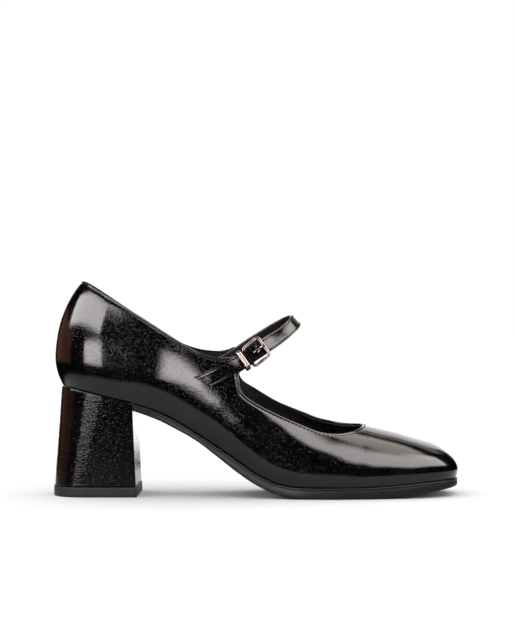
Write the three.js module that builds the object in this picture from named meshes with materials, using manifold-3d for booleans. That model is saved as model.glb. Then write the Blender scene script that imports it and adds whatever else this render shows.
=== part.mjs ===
// Right mary jane shoe on a block heel, with a buckled instep strap.
// Millimetres. +X points to the toe, +Y to the medial side of the foot, +Z up from the floor.
import * as THREE from 'three';
import { mergeVertices } from 'three/addons/utils/BufferGeometryUtils.js';
import Module from 'manifold-3d';

const wasm = await Module();
wasm.setup();

// Driving sizes.
const lastLength = 237.4;       // back of the counter to the tip of the toe
const wall = 2.0;               // upper leather and lining together
const gap = 0.3;                // clearance between pieces that touch
const liftHeight = 5.7;         // top lift, from the floor to the heel
const breastTop = 47.0;         // where the front face of the heel meets the waist
const breastBottom = 49.2;      // the same face at the top lift
const strapWidth = 9.1;
const strapThick = 1.9;
const railWidth = 1.8;          // the buckle's wire
const railThick = 1.5;
const tailGap = 0.45;           // between the strap's tail and the quarter under it
const insideGap = 0.8;          // between the strap's root and the quarter outside it

// Outline of the last at its widest line. Half widths are taken from the middle line, before
// the ends are rounded; tuck is how far the feather edge lies inside the widest line, and
// belly how high the widest line stands over the feather edge. Crest is the ridge of the last
// and fullness the exponent of its section, from 2 for an ellipse to 3 for a square shoulder.
const sectionRow = (x, middle, lateral, medial, tuck, belly, crest, crestY, fullness) => (
  { x, middle, lateral, medial, tuck, belly, crest, crestY, fullness });
const lastSections = [
  sectionRow(0, 0, 27, 27, 4.6, 14.5, 136.8, 0, 2),
  sectionRow(30, 0, 27.5, 27, 4, 15.5, 136.8, 0, 2),
  sectionRow(60, 0, 28, 25.5, 5.4, 19, 134, 0, 2),
  sectionRow(90, 0, 32.2, 27.2, 5.4, 18, 120, 1.6, 2.1),
  sectionRow(110, 0, 34.8, 29.6, 4.4, 14, 102, 2.8, 2.2),
  sectionRow(130, 0, 37.1, 32.4, 2.8, 10, 74, 3.4, 2.2),
  sectionRow(150, 0.4, 39.2, 35.2, 1.6, 7.4, 52.5, 3.8, 2.3),
  sectionRow(165, 0.8, 39.6, 37, 1.2, 6.5, 46, 4.2, 2.25),
  sectionRow(182, 1.5, 38.6, 37, 1.2, 6, 41, 4.4, 2.2),
  sectionRow(200, 2.2, 36, 35.4, 1.2, 5.8, 36.6, 4.2, 2.15),
  sectionRow(220, 2.8, 32.4, 32.4, 1.3, 5.4, 31, 3.6, 2.15),
  sectionRow(238, 3, 30, 30, 1.4, 5, 26.4, 3, 2.1),
];

// Feather line, where the upper meets the sole, and the underside of the sole below it.
const soleLine = [
  { x: 0, top: 65.2, bottom: 61 },
  { x: 20, top: 61.1, bottom: 57 },
  { x: 40, top: 56.1, bottom: 52.1 },
  { x: 60, top: 49.9, bottom: 45.4 },
  { x: 72, top: 44.3, bottom: 39.6 },
  { x: 84, top: 37.1, bottom: 32.9 },
  { x: 96, top: 29.4, bottom: 24 },
  { x: 108, top: 21.4, bottom: 14.8 },
  { x: 120, top: 13.4, bottom: 7.1 },
  { x: 132, top: 8.4, bottom: 2.2 },
  { x: 144, top: 6.7, bottom: 0 },
  { x: 178, top: 6.6, bottom: 0 },
  { x: 190, top: 7, bottom: 0.3 },
  { x: 204, top: 7.9, bottom: 1.1 },
  { x: 218, top: 9, bottom: 3 },
  { x: 238, top: 10.2, bottom: 5.8 },
];

// Height of the topline from the back of the counter to the start of the throat. The short
// steep stretch is the front edge of the ear that carries the strap.
const topline = {
  lateral: [
    { x: 0, z: 136 }, { x: 17, z: 125.5 }, { x: 52, z: 104.2 }, { x: 75, z: 89.7 },
    { x: 87, z: 83.2 }, { x: 97, z: 80.5 }, { x: 103, z: 80.8 }, { x: 106.6, z: 81.6 },
    { x: 107.8, z: 79 }, { x: 108.4, z: 71 }, { x: 109, z: 65 }, { x: 111.2, z: 60 },
    { x: 117.4, z: 55.2 }, { x: 130.6, z: 48.3 }, { x: 150, z: 39.9 },
  ],
  medial: [
    { x: 0, z: 136 }, { x: 17, z: 125.5 }, { x: 52, z: 101.9 }, { x: 66, z: 92.7 },
    { x: 75, z: 87.9 }, { x: 87, z: 84.4 }, { x: 95, z: 83.7 }, { x: 101, z: 84.6 },
    { x: 105.4, z: 86.2 }, { x: 106.8, z: 83 }, { x: 107.3, z: 75 }, { x: 108, z: 69.4 },
    { x: 110.4, z: 65.8 }, { x: 118, z: 61 }, { x: 131.6, z: 53.1 }, { x: 150, z: 45.8 },
  ],
};
const throat = { start: 150, tip: 182, squareness: 2.6 };

// How the ends of the outline are rounded, and how the section lines fan out to reach them.
const heelEnd = { round: 30, squareness: 2, fanSpan: 80, fanReach: 40 };
const toeEnd = { round: 205, squareness: 2.6, fanSpan: 52.4, fanReach: 19.4 };

// Distance between section lines along the outline.
const stationSpacing = [
  { x: 0, step: 6 }, { x: 98, step: 5 }, { x: 106, step: 1.2 }, { x: 112, step: 1.2 },
  { x: 120, step: 5 }, { x: 166, step: 4 }, { x: 178, step: 1.6 }, { x: 182, step: 0.9 },
  { x: 187, step: 3.2 }, { x: 238, step: 4.2 },
];
const tuckRows = 3;
const wallRows = 9;

// Centre line of the strap over the instep, from the medial quarter to the buckle, with the
// direction that its outer face looks in.
const strapRoute = [
  { x: 115.5, y: 18.4, z: 87.6, nx: 0.1, ny: 0.93, nz: 0.35, width: 9 },
  { x: 123, y: 17.4, z: 92.4, nx: 0.18, ny: 0.86, nz: 0.5, width: 8.8 },
  { x: 130.4, y: 14.8, z: 97.2, nx: 0.36, ny: 0.66, nz: 0.66, width: 8.4 },
  { x: 137.4, y: 10, z: 101.1, nx: 0.58, ny: 0.34, nz: 0.74, width: 8 },
  { x: 141.4, y: 2, z: 102.4, nx: 0.72, ny: 0, nz: 0.69, width: 7.8 },
  { x: 140.6, y: -6.5, z: 100.2, nx: 0.62, ny: -0.3, nz: 0.74, width: 7.8 },
  { x: 135.8, y: -14.5, z: 95.6, nx: 0.46, ny: -0.52, nz: 0.74, width: 8.2 },
  { x: 129.4, y: -20.4, z: 91, nx: 0.3, ny: -0.74, nz: 0.6, width: 8.8 },
];

// Buckle: where the ear of the quarter starts towards it, how far up the strap its middle lies,
// and its frame between the middles of the bars.
const buckle = {
  earX: 107.2,
  earZ: 76.2,
  reach: 14.3,
  length: 10.6,
  inside: 10.8,
  cornerRadius: 1.7,
};
const strapHole = { run: 0.4, long: 4.4, wide: 2.2 };
const tailSlant = { upper: 3, lower: -4.6 };   // how far the tail's edges run past its middle

// Where the strap passes on its centre line inside the medial quarter, along the buckle, and
// on the outside of the lateral quarter.
const strapRoots = [{ x: 97.5, z: 76.4 }, { x: 102, z: 79.2 }, { x: 107, z: 82.2 }];
const buckleRuns = [buckle.length / 2, 0, -buckle.length / 2, -9, -11];
const tailPlaces = [{ x: 103, z: 74.4 }, { x: 96, z: 70.6 }, { x: 87.4, z: 66.6 }];
const strapSteps = 60;

// The ear's tab, along the buckle's run, and the keeper and prong.
const tab = { from: -11.4, bend: -7.6, thick: wall - 0.2, slant: { upper: 2.2, lower: -3.8 } };
const keeper = { behind: 3.7, wire: 0.9, band: 2.6, play: 1, radius: 1.4 };
const prong = { wire: 1.2, dip: 1.6, rise: 1.2, past: 1.1 };

// Shapes of the last.

// Monotone cubic through the rows of a table.
function sample(table, x, column) {
  const last = table.length - 1;
  if (x <= table[0].x) return table[0][column];
  if (x >= table[last].x) return table[last][column];
  let i = 0;
  while (x > table[i + 1].x) i += 1;
  const slope = (k) => (table[k + 1][column] - table[k][column]) / (table[k + 1].x - table[k].x);
  const tangent = (k) => {
    if (k === 0) return slope(0);
    if (k === last) return slope(last - 1);
    const before = slope(k - 1);
    const after = slope(k);
    return before * after <= 0 ? 0 : (2 * before * after) / (before + after);
  };
  const h = table[i + 1].x - table[i].x;
  const t = (x - table[i].x) / h;
  const from = (2 * t ** 3 - 3 * t ** 2 + 1) * table[i][column];
  const to = (3 * t ** 2 - 2 * t ** 3) * table[i + 1][column];
  return from + to + h * ((t ** 3 - 2 * t ** 2 + t) * tangent(i) + (t ** 3 - t ** 2) * tangent(i + 1));
}

// Superellipse: height of a rounded shoulder, 0 at the edge and 1 at the crown.
const shoulder = (fraction, power) => (1 - (1 - fraction) ** power) ** (1 / power);

// The widest line of the last on one side, -1 lateral and 1 medial.
function widest(side, x) {
  const half = sample(lastSections, x, side < 0 ? 'lateral' : 'medial');
  let end = 1;
  if (x < heelEnd.round) end = shoulder(x / heelEnd.round, heelEnd.squareness);
  if (x > toeEnd.round) {
    end = shoulder((lastLength - x) / (lastLength - toeEnd.round), toeEnd.squareness);
  }
  return sample(lastSections, x, 'middle') + side * half * end;
}

const turnToX = (turn) => lastLength * (1 - Math.cos(turn)) / 2;
const xToTurn = (x) => Math.acos(1 - 2 * Math.min(Math.max(x / lastLength, 0), 1));

// Inward direction of the outline, seen from above.
function inward(side, turn) {
  const step = 0.004;
  const from = Math.max(turn - step, 0);
  const to = Math.min(turn + step, Math.PI);
  const dx = turnToX(to) - turnToX(from);
  const dy = widest(side, turnToX(to)) - widest(side, turnToX(from));
  if (from === 0) return new THREE.Vector2(1, 0);
  if (to === Math.PI) return new THREE.Vector2(-1, 0);
  const length = Math.hypot(dx, dy);
  return new THREE.Vector2(side * dy, -side * dx).divideScalar(length);
}

// Where the section line that starts at x on the outline reaches the crest.
function crestX(x) {
  if (x < heelEnd.fanSpan) return x + heelEnd.fanReach * (1 - x / heelEnd.fanSpan) ** 2;
  const fan = (x - (lastLength - toeEnd.fanSpan)) / toeEnd.fanSpan;
  return fan > 0 ? x - toeEnd.fanReach * fan ** 2 : x;
}

// A point of the outline moved inwards, used for feather edge, sole and insole alike.
function edgePoint(side, turn, inset) {
  const x = turnToX(turn);
  const point = new THREE.Vector2(x, widest(side, x));
  return point.addScaledVector(inward(side, turn), inset);
}

// The outer face of the upper above its widest line: reach runs from 0 there to 1 on the crest.
function wallPoint(side, turn, reach) {
  const x = turnToX(turn);
  const edge = edgePoint(side, turn, 0);
  const target = new THREE.Vector2(crestX(x), sample(lastSections, crestX(x), 'crestY'));
  const spot = edge.lerp(target, reach);
  const base = sample(soleLine, x, 'top') + sample(lastSections, x, 'belly');
  const rise = shoulder(reach, sample(lastSections, x, 'fullness'));
  const height = base + (sample(lastSections, spot.x, 'crest') - base) * rise;
  return new THREE.Vector3(spot.x, spot.y, height);
}

// The same face below its widest line: climb runs from 0 at the feather edge to 1.
function tuckPoint(side, turn, climb) {
  const x = turnToX(turn);
  const spot = edgePoint(side, turn, sample(lastSections, x, 'tuck') * (1 - climb) ** 2);
  const feather = sample(soleLine, spot.x, 'top') + gap / 2;
  const height = feather + sample(lastSections, x, 'belly') * climb;
  return new THREE.Vector3(spot.x, spot.y, height);
}

function bisect(test, low, high) {
  for (let i = 0; i < 40; i += 1) {
    const middle = (low + high) / 2;
    if (test(middle)) low = middle;
    else high = middle;
  }
  return (low + high) / 2;
}

// How far up the section line the topline lies, 1 where the vamp is closed.
function toplineReach(side, turn) {
  const x = turnToX(turn);
  if (x >= throat.tip) return 1;
  const heights = side < 0 ? topline.lateral : topline.medial;
  if (x <= throat.start) {
    const under = (reach) => {
      const point = wallPoint(side, turn, reach);
      return point.z < sample(heights, point.x, 'z');
    };
    return bisect(under, 0, 1);
  }
  const start = xToTurn(throat.start);
  const startPoint = wallPoint(side, start, toplineReach(side, start));
  const halfGape = Math.abs(startPoint.y - sample(lastSections, throat.start, 'crestY'));
  const run = (x - throat.start) / (throat.tip - throat.start);
  const gape = halfGape * shoulder(1 - run, throat.squareness);
  const ridge = sample(lastSections, x, 'crestY');
  return 1 - gape / Math.abs(widest(side, x) - ridge);
}

// Section lines, closer together where the topline turns sharply. One falls on the throat's tip.
function stationTurns() {
  const samples = 1200;
  const reach = [0];
  for (let i = 1; i <= samples; i += 1) {
    const before = edgePoint(-1, Math.PI * (i - 1) / samples, 0);
    const after = edgePoint(-1, Math.PI * i / samples, 0);
    reach.push(reach[i - 1] + before.distanceTo(after) / sample(stationSpacing, after.x, 'step'));
  }
  const count = Math.round(reach[samples]);
  const turns = [];
  let i = 0;
  for (let k = 0; k <= count; k += 1) {
    const goal = reach[samples] * k / count;
    while (i < samples - 1 && reach[i + 1] < goal) i += 1;
    turns.push(Math.PI * (i + (goal - reach[i]) / (reach[i + 1] - reach[i])) / samples);
  }
  const tip = xToTurn(throat.tip);
  const nearest = turns.reduce((best, turn, k) => (
    Math.abs(turn - tip) < Math.abs(turns[best] - tip) ? k : best), 0);
  turns[nearest] = tip;
  return turns;
}

// Mesh helpers.

// A closed mesh from points and faces of three or four corners, wound outwards.
function closedMesh(points, faces) {
  const index = [];
  for (const face of faces) {
    for (let i = 2; i < face.length; i += 1) index.push(face[0], face[i - 1], face[i]);
  }
  let geometry = new THREE.BufferGeometry();
  const coordinates = points.flatMap((p) => [p.x, p.y, p.z]);
  geometry.setAttribute('position', new THREE.Float32BufferAttribute(coordinates, 3));
  geometry.setIndex(index);
  geometry = mergeVertices(geometry, 1e-4);
  const kept = [];
  const order = geometry.index.array;
  for (let i = 0; i < order.length; i += 3) {
    const [a, b, c] = [order[i], order[i + 1], order[i + 2]];
    if (a !== b && b !== c && c !== a) kept.push(a, b, c);
  }
  const place = geometry.attributes.position;
  const corner = (k) => new THREE.Vector3().fromBufferAttribute(place, k);
  let volume = 0;
  for (let i = 0; i < kept.length; i += 3) {
    volume += corner(kept[i]).dot(corner(kept[i + 1]).cross(corner(kept[i + 2])));
  }
  if (volume < 0) {
    for (let i = 0; i < kept.length; i += 3) [kept[i], kept[i + 1]] = [kept[i + 1], kept[i]];
  }
  geometry.setIndex(kept);
  return geometry;
}

// Skin over a row of rings that all have the same number of points, with both ends capped, or
// joined end to end where the run is a loop.
function skin(rings, loop = false) {
  const size = rings[0].length;
  const faces = [];
  const runs = loop ? rings.length : rings.length - 1;
  for (let i = 0; i < runs; i += 1) {
    const next = (i + 1) % rings.length;
    for (let j = 0; j < size; j += 1) {
      const k = (j + 1) % size;
      faces.push([i * size + j, i * size + k, next * size + k, next * size + j]);
    }
  }
  if (!loop) {
    const end = (rings.length - 1) * size;
    faces.push([...Array(size).keys()].reverse());
    faces.push([...Array(size).keys()].map((j) => end + j));
  }
  return closedMesh(rings.flat(), faces);
}

function toSolid(geometry) {
  const bare = geometry.clone();
  bare.deleteAttribute('normal');
  bare.deleteAttribute('uv');
  const merged = mergeVertices(bare, 1e-4);
  return new wasm.Manifold(new wasm.Mesh({
    numProp: 3,
    vertProperties: new Float32Array(merged.attributes.position.array),
    triVerts: new Uint32Array(merged.index.array),
  }));
}

function fromSolid(solid) {
  const mesh = solid.getMesh();
  const geometry = new THREE.BufferGeometry();
  geometry.setAttribute('position', new THREE.Float32BufferAttribute(mesh.vertProperties, 3));
  geometry.setIndex([...mesh.triVerts]);
  return geometry;
}

// Upper, sole, heel.

// Rows of points from the feather edge to the topline along each section line of one side.
function upperRows(side, turns) {
  return turns.map((turn) => {
    const rows = [];
    for (let i = 0; i < tuckRows; i += 1) rows.push(tuckPoint(side, turn, i / tuckRows));
    const power = sample(lastSections, turnToX(turn), 'fullness');
    const reach = toplineReach(side, turn);
    const top = Math.acos(Math.min((1 - reach) ** (power / 2), 1));
    for (let i = 0; i <= wallRows; i += 1) {
      const along = i === wallRows ? reach : 1 - Math.cos(top * i / wallRows) ** (2 / power);
      rows.push(wallPoint(side, turn, along));
    }
    return rows;
  });
}

// Shell with its real wall, open at the collar and throat and open underneath.
function upperShell() {
  const turns = stationTurns();
  const lateral = upperRows(-1, turns);
  const medial = upperRows(1, turns);
  const lines = [...lateral, ...medial.slice(1, -1).reverse()];
  const rowCount = tuckRows + wallRows + 1;
  const outer = lines.flat();
  const faces = [];
  lines.forEach((line, i) => {
    const next = (i + 1) % lines.length;
    for (let j = 0; j < rowCount - 1; j += 1) {
      const [here, there] = [i * rowCount + j, next * rowCount + j];
      faces.push([here, there, there + 1, here + 1]);
    }
  });

  // Mean normals, shared along the crest where the two sides meet.
  const key = (p) => [p.x, p.y, p.z].map((v) => v.toFixed(4)).join();
  const normals = new Map();
  for (const [a, b, c, d] of faces) {
    const normal = outer[c].clone().sub(outer[a]).cross(outer[d].clone().sub(outer[b]));
    for (const k of [a, b, c, d]) {
      const name = key(outer[k]);
      if (!normals.has(name)) normals.set(name, new THREE.Vector3());
      normals.get(name).add(normal);
    }
  }
  const inner = outer.map((point, k) => {
    const offset = normals.get(key(point)).clone();
    if (k % rowCount === 0) offset.z = 0;
    return point.clone().addScaledVector(offset.normalize(), -wall);
  });

  const shift = outer.length;
  const tipRow = turns.findIndex((turn) => turnToX(turn) >= throat.tip - 1e-6);
  const isOpen = (i) => (i <= lateral.length - 1 ? i < tipRow : i > lines.length - tipRow);
  const all = [...faces, ...faces.map((face) => face.map((k) => k + shift).reverse())];
  lines.forEach((line, i) => {
    const next = (i + 1) % lines.length;
    const bottom = [i * rowCount, next * rowCount];
    all.push([bottom[1], bottom[0], bottom[0] + shift, bottom[1] + shift]);
    if (isOpen(i) || isOpen(next)) {
      const top = [bottom[0] + rowCount - 1, bottom[1] + rowCount - 1];
      all.push([top[0], top[1], top[1] + shift, top[0] + shift]);
    }
  });
  return closedMesh([...outer, ...inner], all);
}

// A plate between two lines of the sole table, cut to the outline moved in by inset(x).
function footPlate(from, inset, low, high) {
  const turns = [from, ...stationTurns().filter((turn) => turnToX(turn) > turnToX(from) + 2)];
  const rings = turns.map((turn) => {
    const x = turnToX(turn);
    const lateral = edgePoint(-1, turn, inset(x));
    const medial = edgePoint(1, turn, inset(x));
    if (turn === from) medial.x = lateral.x;
    const middle = lateral.clone().lerp(medial, 0.5);
    return [
      new THREE.Vector3(lateral.x, lateral.y, low(lateral.x)),
      new THREE.Vector3(middle.x, middle.y, low(middle.x)),
      new THREE.Vector3(medial.x, medial.y, low(medial.x)),
      new THREE.Vector3(medial.x, medial.y, high(medial.x)),
      new THREE.Vector3(middle.x, middle.y, high(middle.x)),
      new THREE.Vector3(lateral.x, lateral.y, high(lateral.x)),
    ];
  });
  return skin(rings);
}

const soleEdge = 1.1;           // how far the sole stands out past the feather edge
const insoleThick = 3;

function outsoleShape() {
  const inset = (x) => sample(lastSections, x, 'tuck') - soleEdge;
  const low = (x) => sample(soleLine, x, 'bottom');
  const high = (x) => sample(soleLine, x, 'top') - gap / 2;
  return footPlate(xToTurn(breastTop + gap), inset, low, high);
}

function insoleShape() {
  const inset = (x) => sample(lastSections, x, 'tuck') + wall + gap;
  const low = (x) => sample(soleLine, x, 'top') + gap / 2;
  const high = (x) => low(x) + insoleThick;
  return footPlate(xToTurn(0), inset, low, high);
}

// Outline of the heel at a height, 0 at the top lift and 1 at the seat, as points that run
// from the lateral breast corner round the back to the medial one.
const liftProud = 0.5;          // how far the lift stands out past the heel
const heelFoot = { back: 0.2, half: 24, middle: 0, round: 19, squareness: 2.3 };
const heelSeat = { back: 4, half: 24.2, middle: -0.2, round: 27, squareness: 2.05 };

function heelOutline(level, proud = 0) {
  const mix = (column) => THREE.MathUtils.lerp(heelFoot[column], heelSeat[column], level);
  const breast = THREE.MathUtils.lerp(breastBottom, breastTop, level) + proud;
  const points = [];
  const steps = 12;
  const roundTo = mix('back') + mix('round');
  for (const side of [-1, 1]) {
    const line = [];
    for (const x of [breast, (breast + roundTo) / 2]) {
      line.push(new THREE.Vector2(x, mix('middle') + side * (mix('half') + proud)));
    }
    for (let i = 0; i <= steps; i += 1) {
      const angle = (Math.PI / 2) * (1 - i / steps);
      const power = 2 / mix('squareness');
      const x = roundTo - (mix('round') + proud) * Math.cos(angle) ** power;
      const y = mix('middle') + side * (mix('half') + proud) * Math.sin(angle) ** power;
      line.push(new THREE.Vector2(x, y));
    }
    points.push(side < 0 ? line : line.slice(0, -1).reverse());
  }
  return points.flat();
}

function heelBlockShape() {
  const levels = 6;
  const rings = [];
  for (let i = 0; i <= levels; i += 1) {
    const level = i / levels;
    rings.push(heelOutline(level).map((spot) => {
      const seat = sample(soleLine, spot.x, 'top') - gap / 2;
      const foot = liftHeight + gap;
      return new THREE.Vector3(spot.x, spot.y, foot + (seat - foot) * level);
    }));
  }
  const faces = [];
  const size = rings[0].length;
  const half = (size - 1) / 2;
  for (let i = 0; i < levels; i += 1) {
    for (let j = 0; j < size; j += 1) {
      const k = (j + 1) % size;
      faces.push([i * size + j, i * size + k, (i + 1) * size + k, (i + 1) * size + j]);
    }
  }
  for (const [start, flip] of [[0, false], [levels * size, true]]) {
    for (let j = 0; j < half; j += 1) {
      const far = size - 1 - j;
      const face = [start + j, start + far, start + far - 1, start + j + 1];
      faces.push(flip ? face.reverse() : face);
    }
  }
  return closedMesh(rings.flat(), faces);
}

function topLiftShape() {
  const outline = heelOutline(0, liftProud);
  const ring = (z) => outline.map((spot) => new THREE.Vector3(spot.x, spot.y, z));
  return skin([ring(0), ring(liftHeight)]);
}

// Strap and buckle.

// The outer face of the upper at a place on the side of the foot, and the way it looks.
function sideSpot(side, x, z) {
  const turn = xToTurn(x);
  const reach = bisect((value) => wallPoint(side, turn, value).z < z, 0, 1);
  const point = wallPoint(side, turn, reach);
  const up = wallPoint(side, turn, reach + 0.01).sub(point);
  const along = wallPoint(side, xToTurn(x + 1), reach).sub(point);
  const normal = along.cross(up).normalize();
  if (normal.y * side < 0) normal.negate();
  return { point, normal };
}

// A row of cross-section frames along a route: tangent, outer face and the direction across.
function routeFrames(route) {
  return route.map((spot, i) => {
    const before = route[Math.max(i - 1, 0)].point;
    const after = route[Math.min(i + 1, route.length - 1)].point;
    const tangent = after.clone().sub(before).normalize();
    const normal = spot.normal.clone();
    normal.addScaledVector(tangent, -normal.dot(tangent)).normalize();
    const across = new THREE.Vector3().crossVectors(normal, tangent);
    if (across.z < 0) across.negate();
    return { point: spot.point, tangent, normal, across, width: spot.width };
  });
}

// A flat band along frames. Slant moves the two edges of an end along the route.
function band(frames, width, thick, slants = []) {
  const rings = frames.map((frame, i) => {
    const slant = slants[i] || { upper: 0, lower: 0 };
    return [[-1, -1], [1, -1], [1, 1], [-1, 1]].map(([across, out]) => {
      const shift = across > 0 ? slant.upper : slant.lower;
      return frame.point.clone()
        .addScaledVector(frame.across, across * (frame.width || width) / 2)
        .addScaledVector(frame.normal, out * thick / 2)
        .addScaledVector(frame.tangent, shift);
    });
  });
  return skin(rings);
}

function smoothRoute(points, steps) {
  const place = new THREE.CatmullRomCurve3(points.map((spot) => spot.point), false, 'centripetal');
  const facing = new THREE.CatmullRomCurve3(points.map((spot) => spot.normal), false, 'centripetal');
  const widths = points.map((spot, k) => ({ x: k, width: spot.width || strapWidth }));
  const route = [];
  for (let i = 0; i <= steps; i += 1) {
    route.push({
      point: place.getPoint(i / steps),
      normal: facing.getPoint(i / steps).normalize(),
      width: sample(widths, (points.length - 1) * i / steps, 'width'),
    });
  }
  return route;
}

const strapLift = wall / 2 + gap + strapThick / 2;   // strap centre over the tab's centre

// The buckle's own axes: run goes up the strap, out away from the foot, across to its upper edge.
const buckleSeat = (() => {
  const ear = sideSpot(-1, buckle.earX, buckle.earZ);
  const run = new THREE.Vector3(0.83, 0.2, 0.54).normalize();
  const out = new THREE.Vector3(0.1, -0.93, 0.34);
  out.addScaledVector(run, -out.dot(run)).normalize();
  const point = ear.point.clone()
    .addScaledVector(ear.normal, -wall / 2)
    .addScaledVector(run, buckle.reach)
    .addScaledVector(out, strapLift);
  const across = new THREE.Vector3().crossVectors(run, out);
  if (across.z < 0) across.negate();
  return { point, run, out, across };
})();

const buckleSpot = (run, across, out) => buckleSeat.point.clone()
  .addScaledVector(buckleSeat.run, run)
  .addScaledVector(buckleSeat.across, across)
  .addScaledVector(buckleSeat.out, out);

function tailSpots() {
  return tailPlaces.map((spot) => {
    const seat = sideSpot(-1, spot.x, spot.z);
    const point = seat.point.clone().addScaledVector(seat.normal, tailGap + strapThick / 2);
    return { point, normal: seat.normal };
  });
}

function strapShape() {
  const inside = strapRoots.map((spot) => {
    const seat = sideSpot(1, spot.x, spot.z);
    const depth = wall + insideGap + strapThick / 2;
    return { point: seat.point.clone().addScaledVector(seat.normal, -depth), normal: seat.normal };
  });
  const over = strapRoute.map((spot) => ({
    point: new THREE.Vector3(spot.x, spot.y, spot.z),
    normal: new THREE.Vector3(spot.nx, spot.ny, spot.nz).normalize(),
    width: spot.width,
  }));
  const through = buckleRuns.map((run) => ({
    point: buckleSpot(run, 0, 0),
    normal: buckleSeat.out,
  }));
  const route = smoothRoute([...inside, ...over, ...through, ...tailSpots()], strapSteps);
  const frames = routeFrames(route);
  const slants = [];
  slants[frames.length - 1] = tailSlant;
  const body = toSolid(band(frames, strapWidth, strapThick, slants));
  const hole = new THREE.BoxGeometry(strapHole.long, strapHole.wide, 3 * strapThick);
  const { run, across, out } = buckleSeat;
  hole.applyMatrix4(new THREE.Matrix4().makeBasis(run, across, out));
  hole.translate(...buckleSpot(strapHole.run, 0, 0).toArray());
  return fromSolid(body.subtract(toSolid(hole)));
}

// Leather tab that runs on from the ear of the quarter to the buckle's hidden bar.
function buckleTabShape() {
  const end = -buckle.length / 2 - railWidth / 2 - gap;
  const spots = [tab.from, tab.bend, end].map((run) => ({
    point: buckleSpot(run, 0, -strapLift),
    normal: buckleSeat.out,
  }));
  return band(routeFrames(spots), strapWidth, tab.thick, [tab.slant]);
}

// A wire loop: rounded rectangle of centre line points in two directions, with a flat section.
function wireLoop(centre, first, second, firstSize, secondSize, radius, section, bend = () => 0) {
  const third = new THREE.Vector3().crossVectors(first, second);
  const arcSteps = 4;
  const path = [];
  for (const [sx, sy, start] of [[1, 1, 0], [-1, 1, 1], [-1, -1, 2], [1, -1, 3]]) {
    for (let i = 0; i <= arcSteps; i += 1) {
      const angle = (Math.PI / 2) * (start + i / arcSteps);
      const u = sx * (firstSize / 2 - radius) + radius * Math.cos(angle);
      const v = sy * (secondSize / 2 - radius) + radius * Math.sin(angle);
      path.push({ u, v, nu: Math.cos(angle), nv: Math.sin(angle) });
    }
  }
  const rings = path.map((spot) => section.map(([wide, high]) => centre.clone()
    .addScaledVector(first, spot.u + spot.nu * wide)
    .addScaledVector(second, spot.v + spot.nv * wide)
    .addScaledVector(third, high + bend(spot.u))));
  return skin(rings, true);
}

const flatSection = (wide, high) => [
  [-wide / 2, -high / 4], [-wide / 4, -high / 2], [wide / 4, -high / 2], [wide / 2, -high / 4],
  [wide / 2, high / 4], [wide / 4, high / 2], [-wide / 4, high / 2], [-wide / 2, high / 4],
];

// How far the bars that the strap passes over and under stand off its centre line.
const barRise = strapThick / 2 + gap + railThick / 2;
const frameRise = barRise + 0.1;

function buckleFrameShape() {
  const height = buckle.inside + railWidth;
  const bend = (u) => {
    const share = THREE.MathUtils.clamp(u / (buckle.length / 2), -1, 1);
    return frameRise * Math.sin(share * Math.PI / 2);
  };
  const { run, across } = buckleSeat;
  const out = new THREE.Vector3().crossVectors(run, across);
  const sign = out.dot(buckleSeat.out) > 0 ? 1 : -1;
  return wireLoop(buckleSeat.point, run, across, buckle.length, height, buckle.cornerRadius,
    flatSection(railWidth, railThick), (u) => sign * bend(u));
}

function buckleProngShape() {
  const half = buckle.length / 2;
  const start = -half + railWidth / 2 + gap + prong.wire / 2;
  const top = barRise + railThick / 2 + gap + prong.wire / 2;
  const points = [
    [start, -barRise],
    [start + prong.dip, -barRise],
    [strapHole.run - 0.8, -prong.rise],
    [strapHole.run + 0.8, prong.rise],
    [half - prong.dip, top],
    [half + prong.past, top],
  ];
  const frames = routeFrames(points.map(([run, out]) => ({
    point: buckleSpot(run, 0, out),
    normal: buckleSeat.out,
  })));
  return band(frames, prong.wire, prong.wire);
}

function keeperShape() {
  const run = -buckle.length / 2 - keeper.behind;
  const centre = buckleSpot(run, 0, -(gap + wall) / 2);
  const long = strapWidth + 2 * gap + keeper.wire + keeper.play;
  const high = strapThick + wall + 3 * gap + keeper.wire;
  const section = flatSection(keeper.wire, keeper.band);
  return wireLoop(centre, buckleSeat.across, buckleSeat.out, long, high, keeper.radius, section);
}

// Assembly.

const finishes = {
  patent: { color: 0x0b0a0b, roughness: 0.18, metalness: 0 },
  cover: { color: 0x0c0b0b, roughness: 0.25, metalness: 0 },
  sole: { color: 0x2b292b, roughness: 0.6, metalness: 0 },
  lift: { color: 0x38363a, roughness: 0.7, metalness: 0 },
  lining: { color: 0x2a2422, roughness: 0.75, metalness: 0 },
  nickel: { color: 0xc9bfb8, roughness: 0.22, metalness: 1 },
};

const pieces = [
  ['upper', upperShell(), 'patent'],
  ['outsole', outsoleShape(), 'sole'],
  ['insole', insoleShape(), 'lining'],
  ['heel_block', heelBlockShape(), 'cover'],
  ['top_lift', topLiftShape(), 'lift'],
  ['strap', strapShape(), 'patent'],
  ['buckle_tab', buckleTabShape(), 'patent'],
  ['buckle_frame', buckleFrameShape(), 'nickel'],
  ['buckle_prong', buckleProngShape(), 'nickel'],
  ['keeper', keeperShape(), 'nickel'],
];

const shoe = new THREE.Group();
for (const [name, geometry, finish] of pieces) {
  const mesh = new THREE.Mesh(geometry, new THREE.MeshStandardMaterial(finishes[finish]));
  mesh.name = name;
  shoe.add(mesh);
}

// Origin under the middle of the whole shoe's box, on the floor.
const box = new THREE.Box3().setFromObject(shoe);
shoe.position.set(-(box.min.x + box.max.x) / 2, -(box.min.y + box.max.y) / 2, -box.min.z);

export default shoe;
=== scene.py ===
import math
from bisect import bisect_right

import bmesh
import bpy
import numpy as np
from mathutils import Matrix, Vector, kdtree, noise
from mathutils.bvhtree import BVHTree


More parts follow.
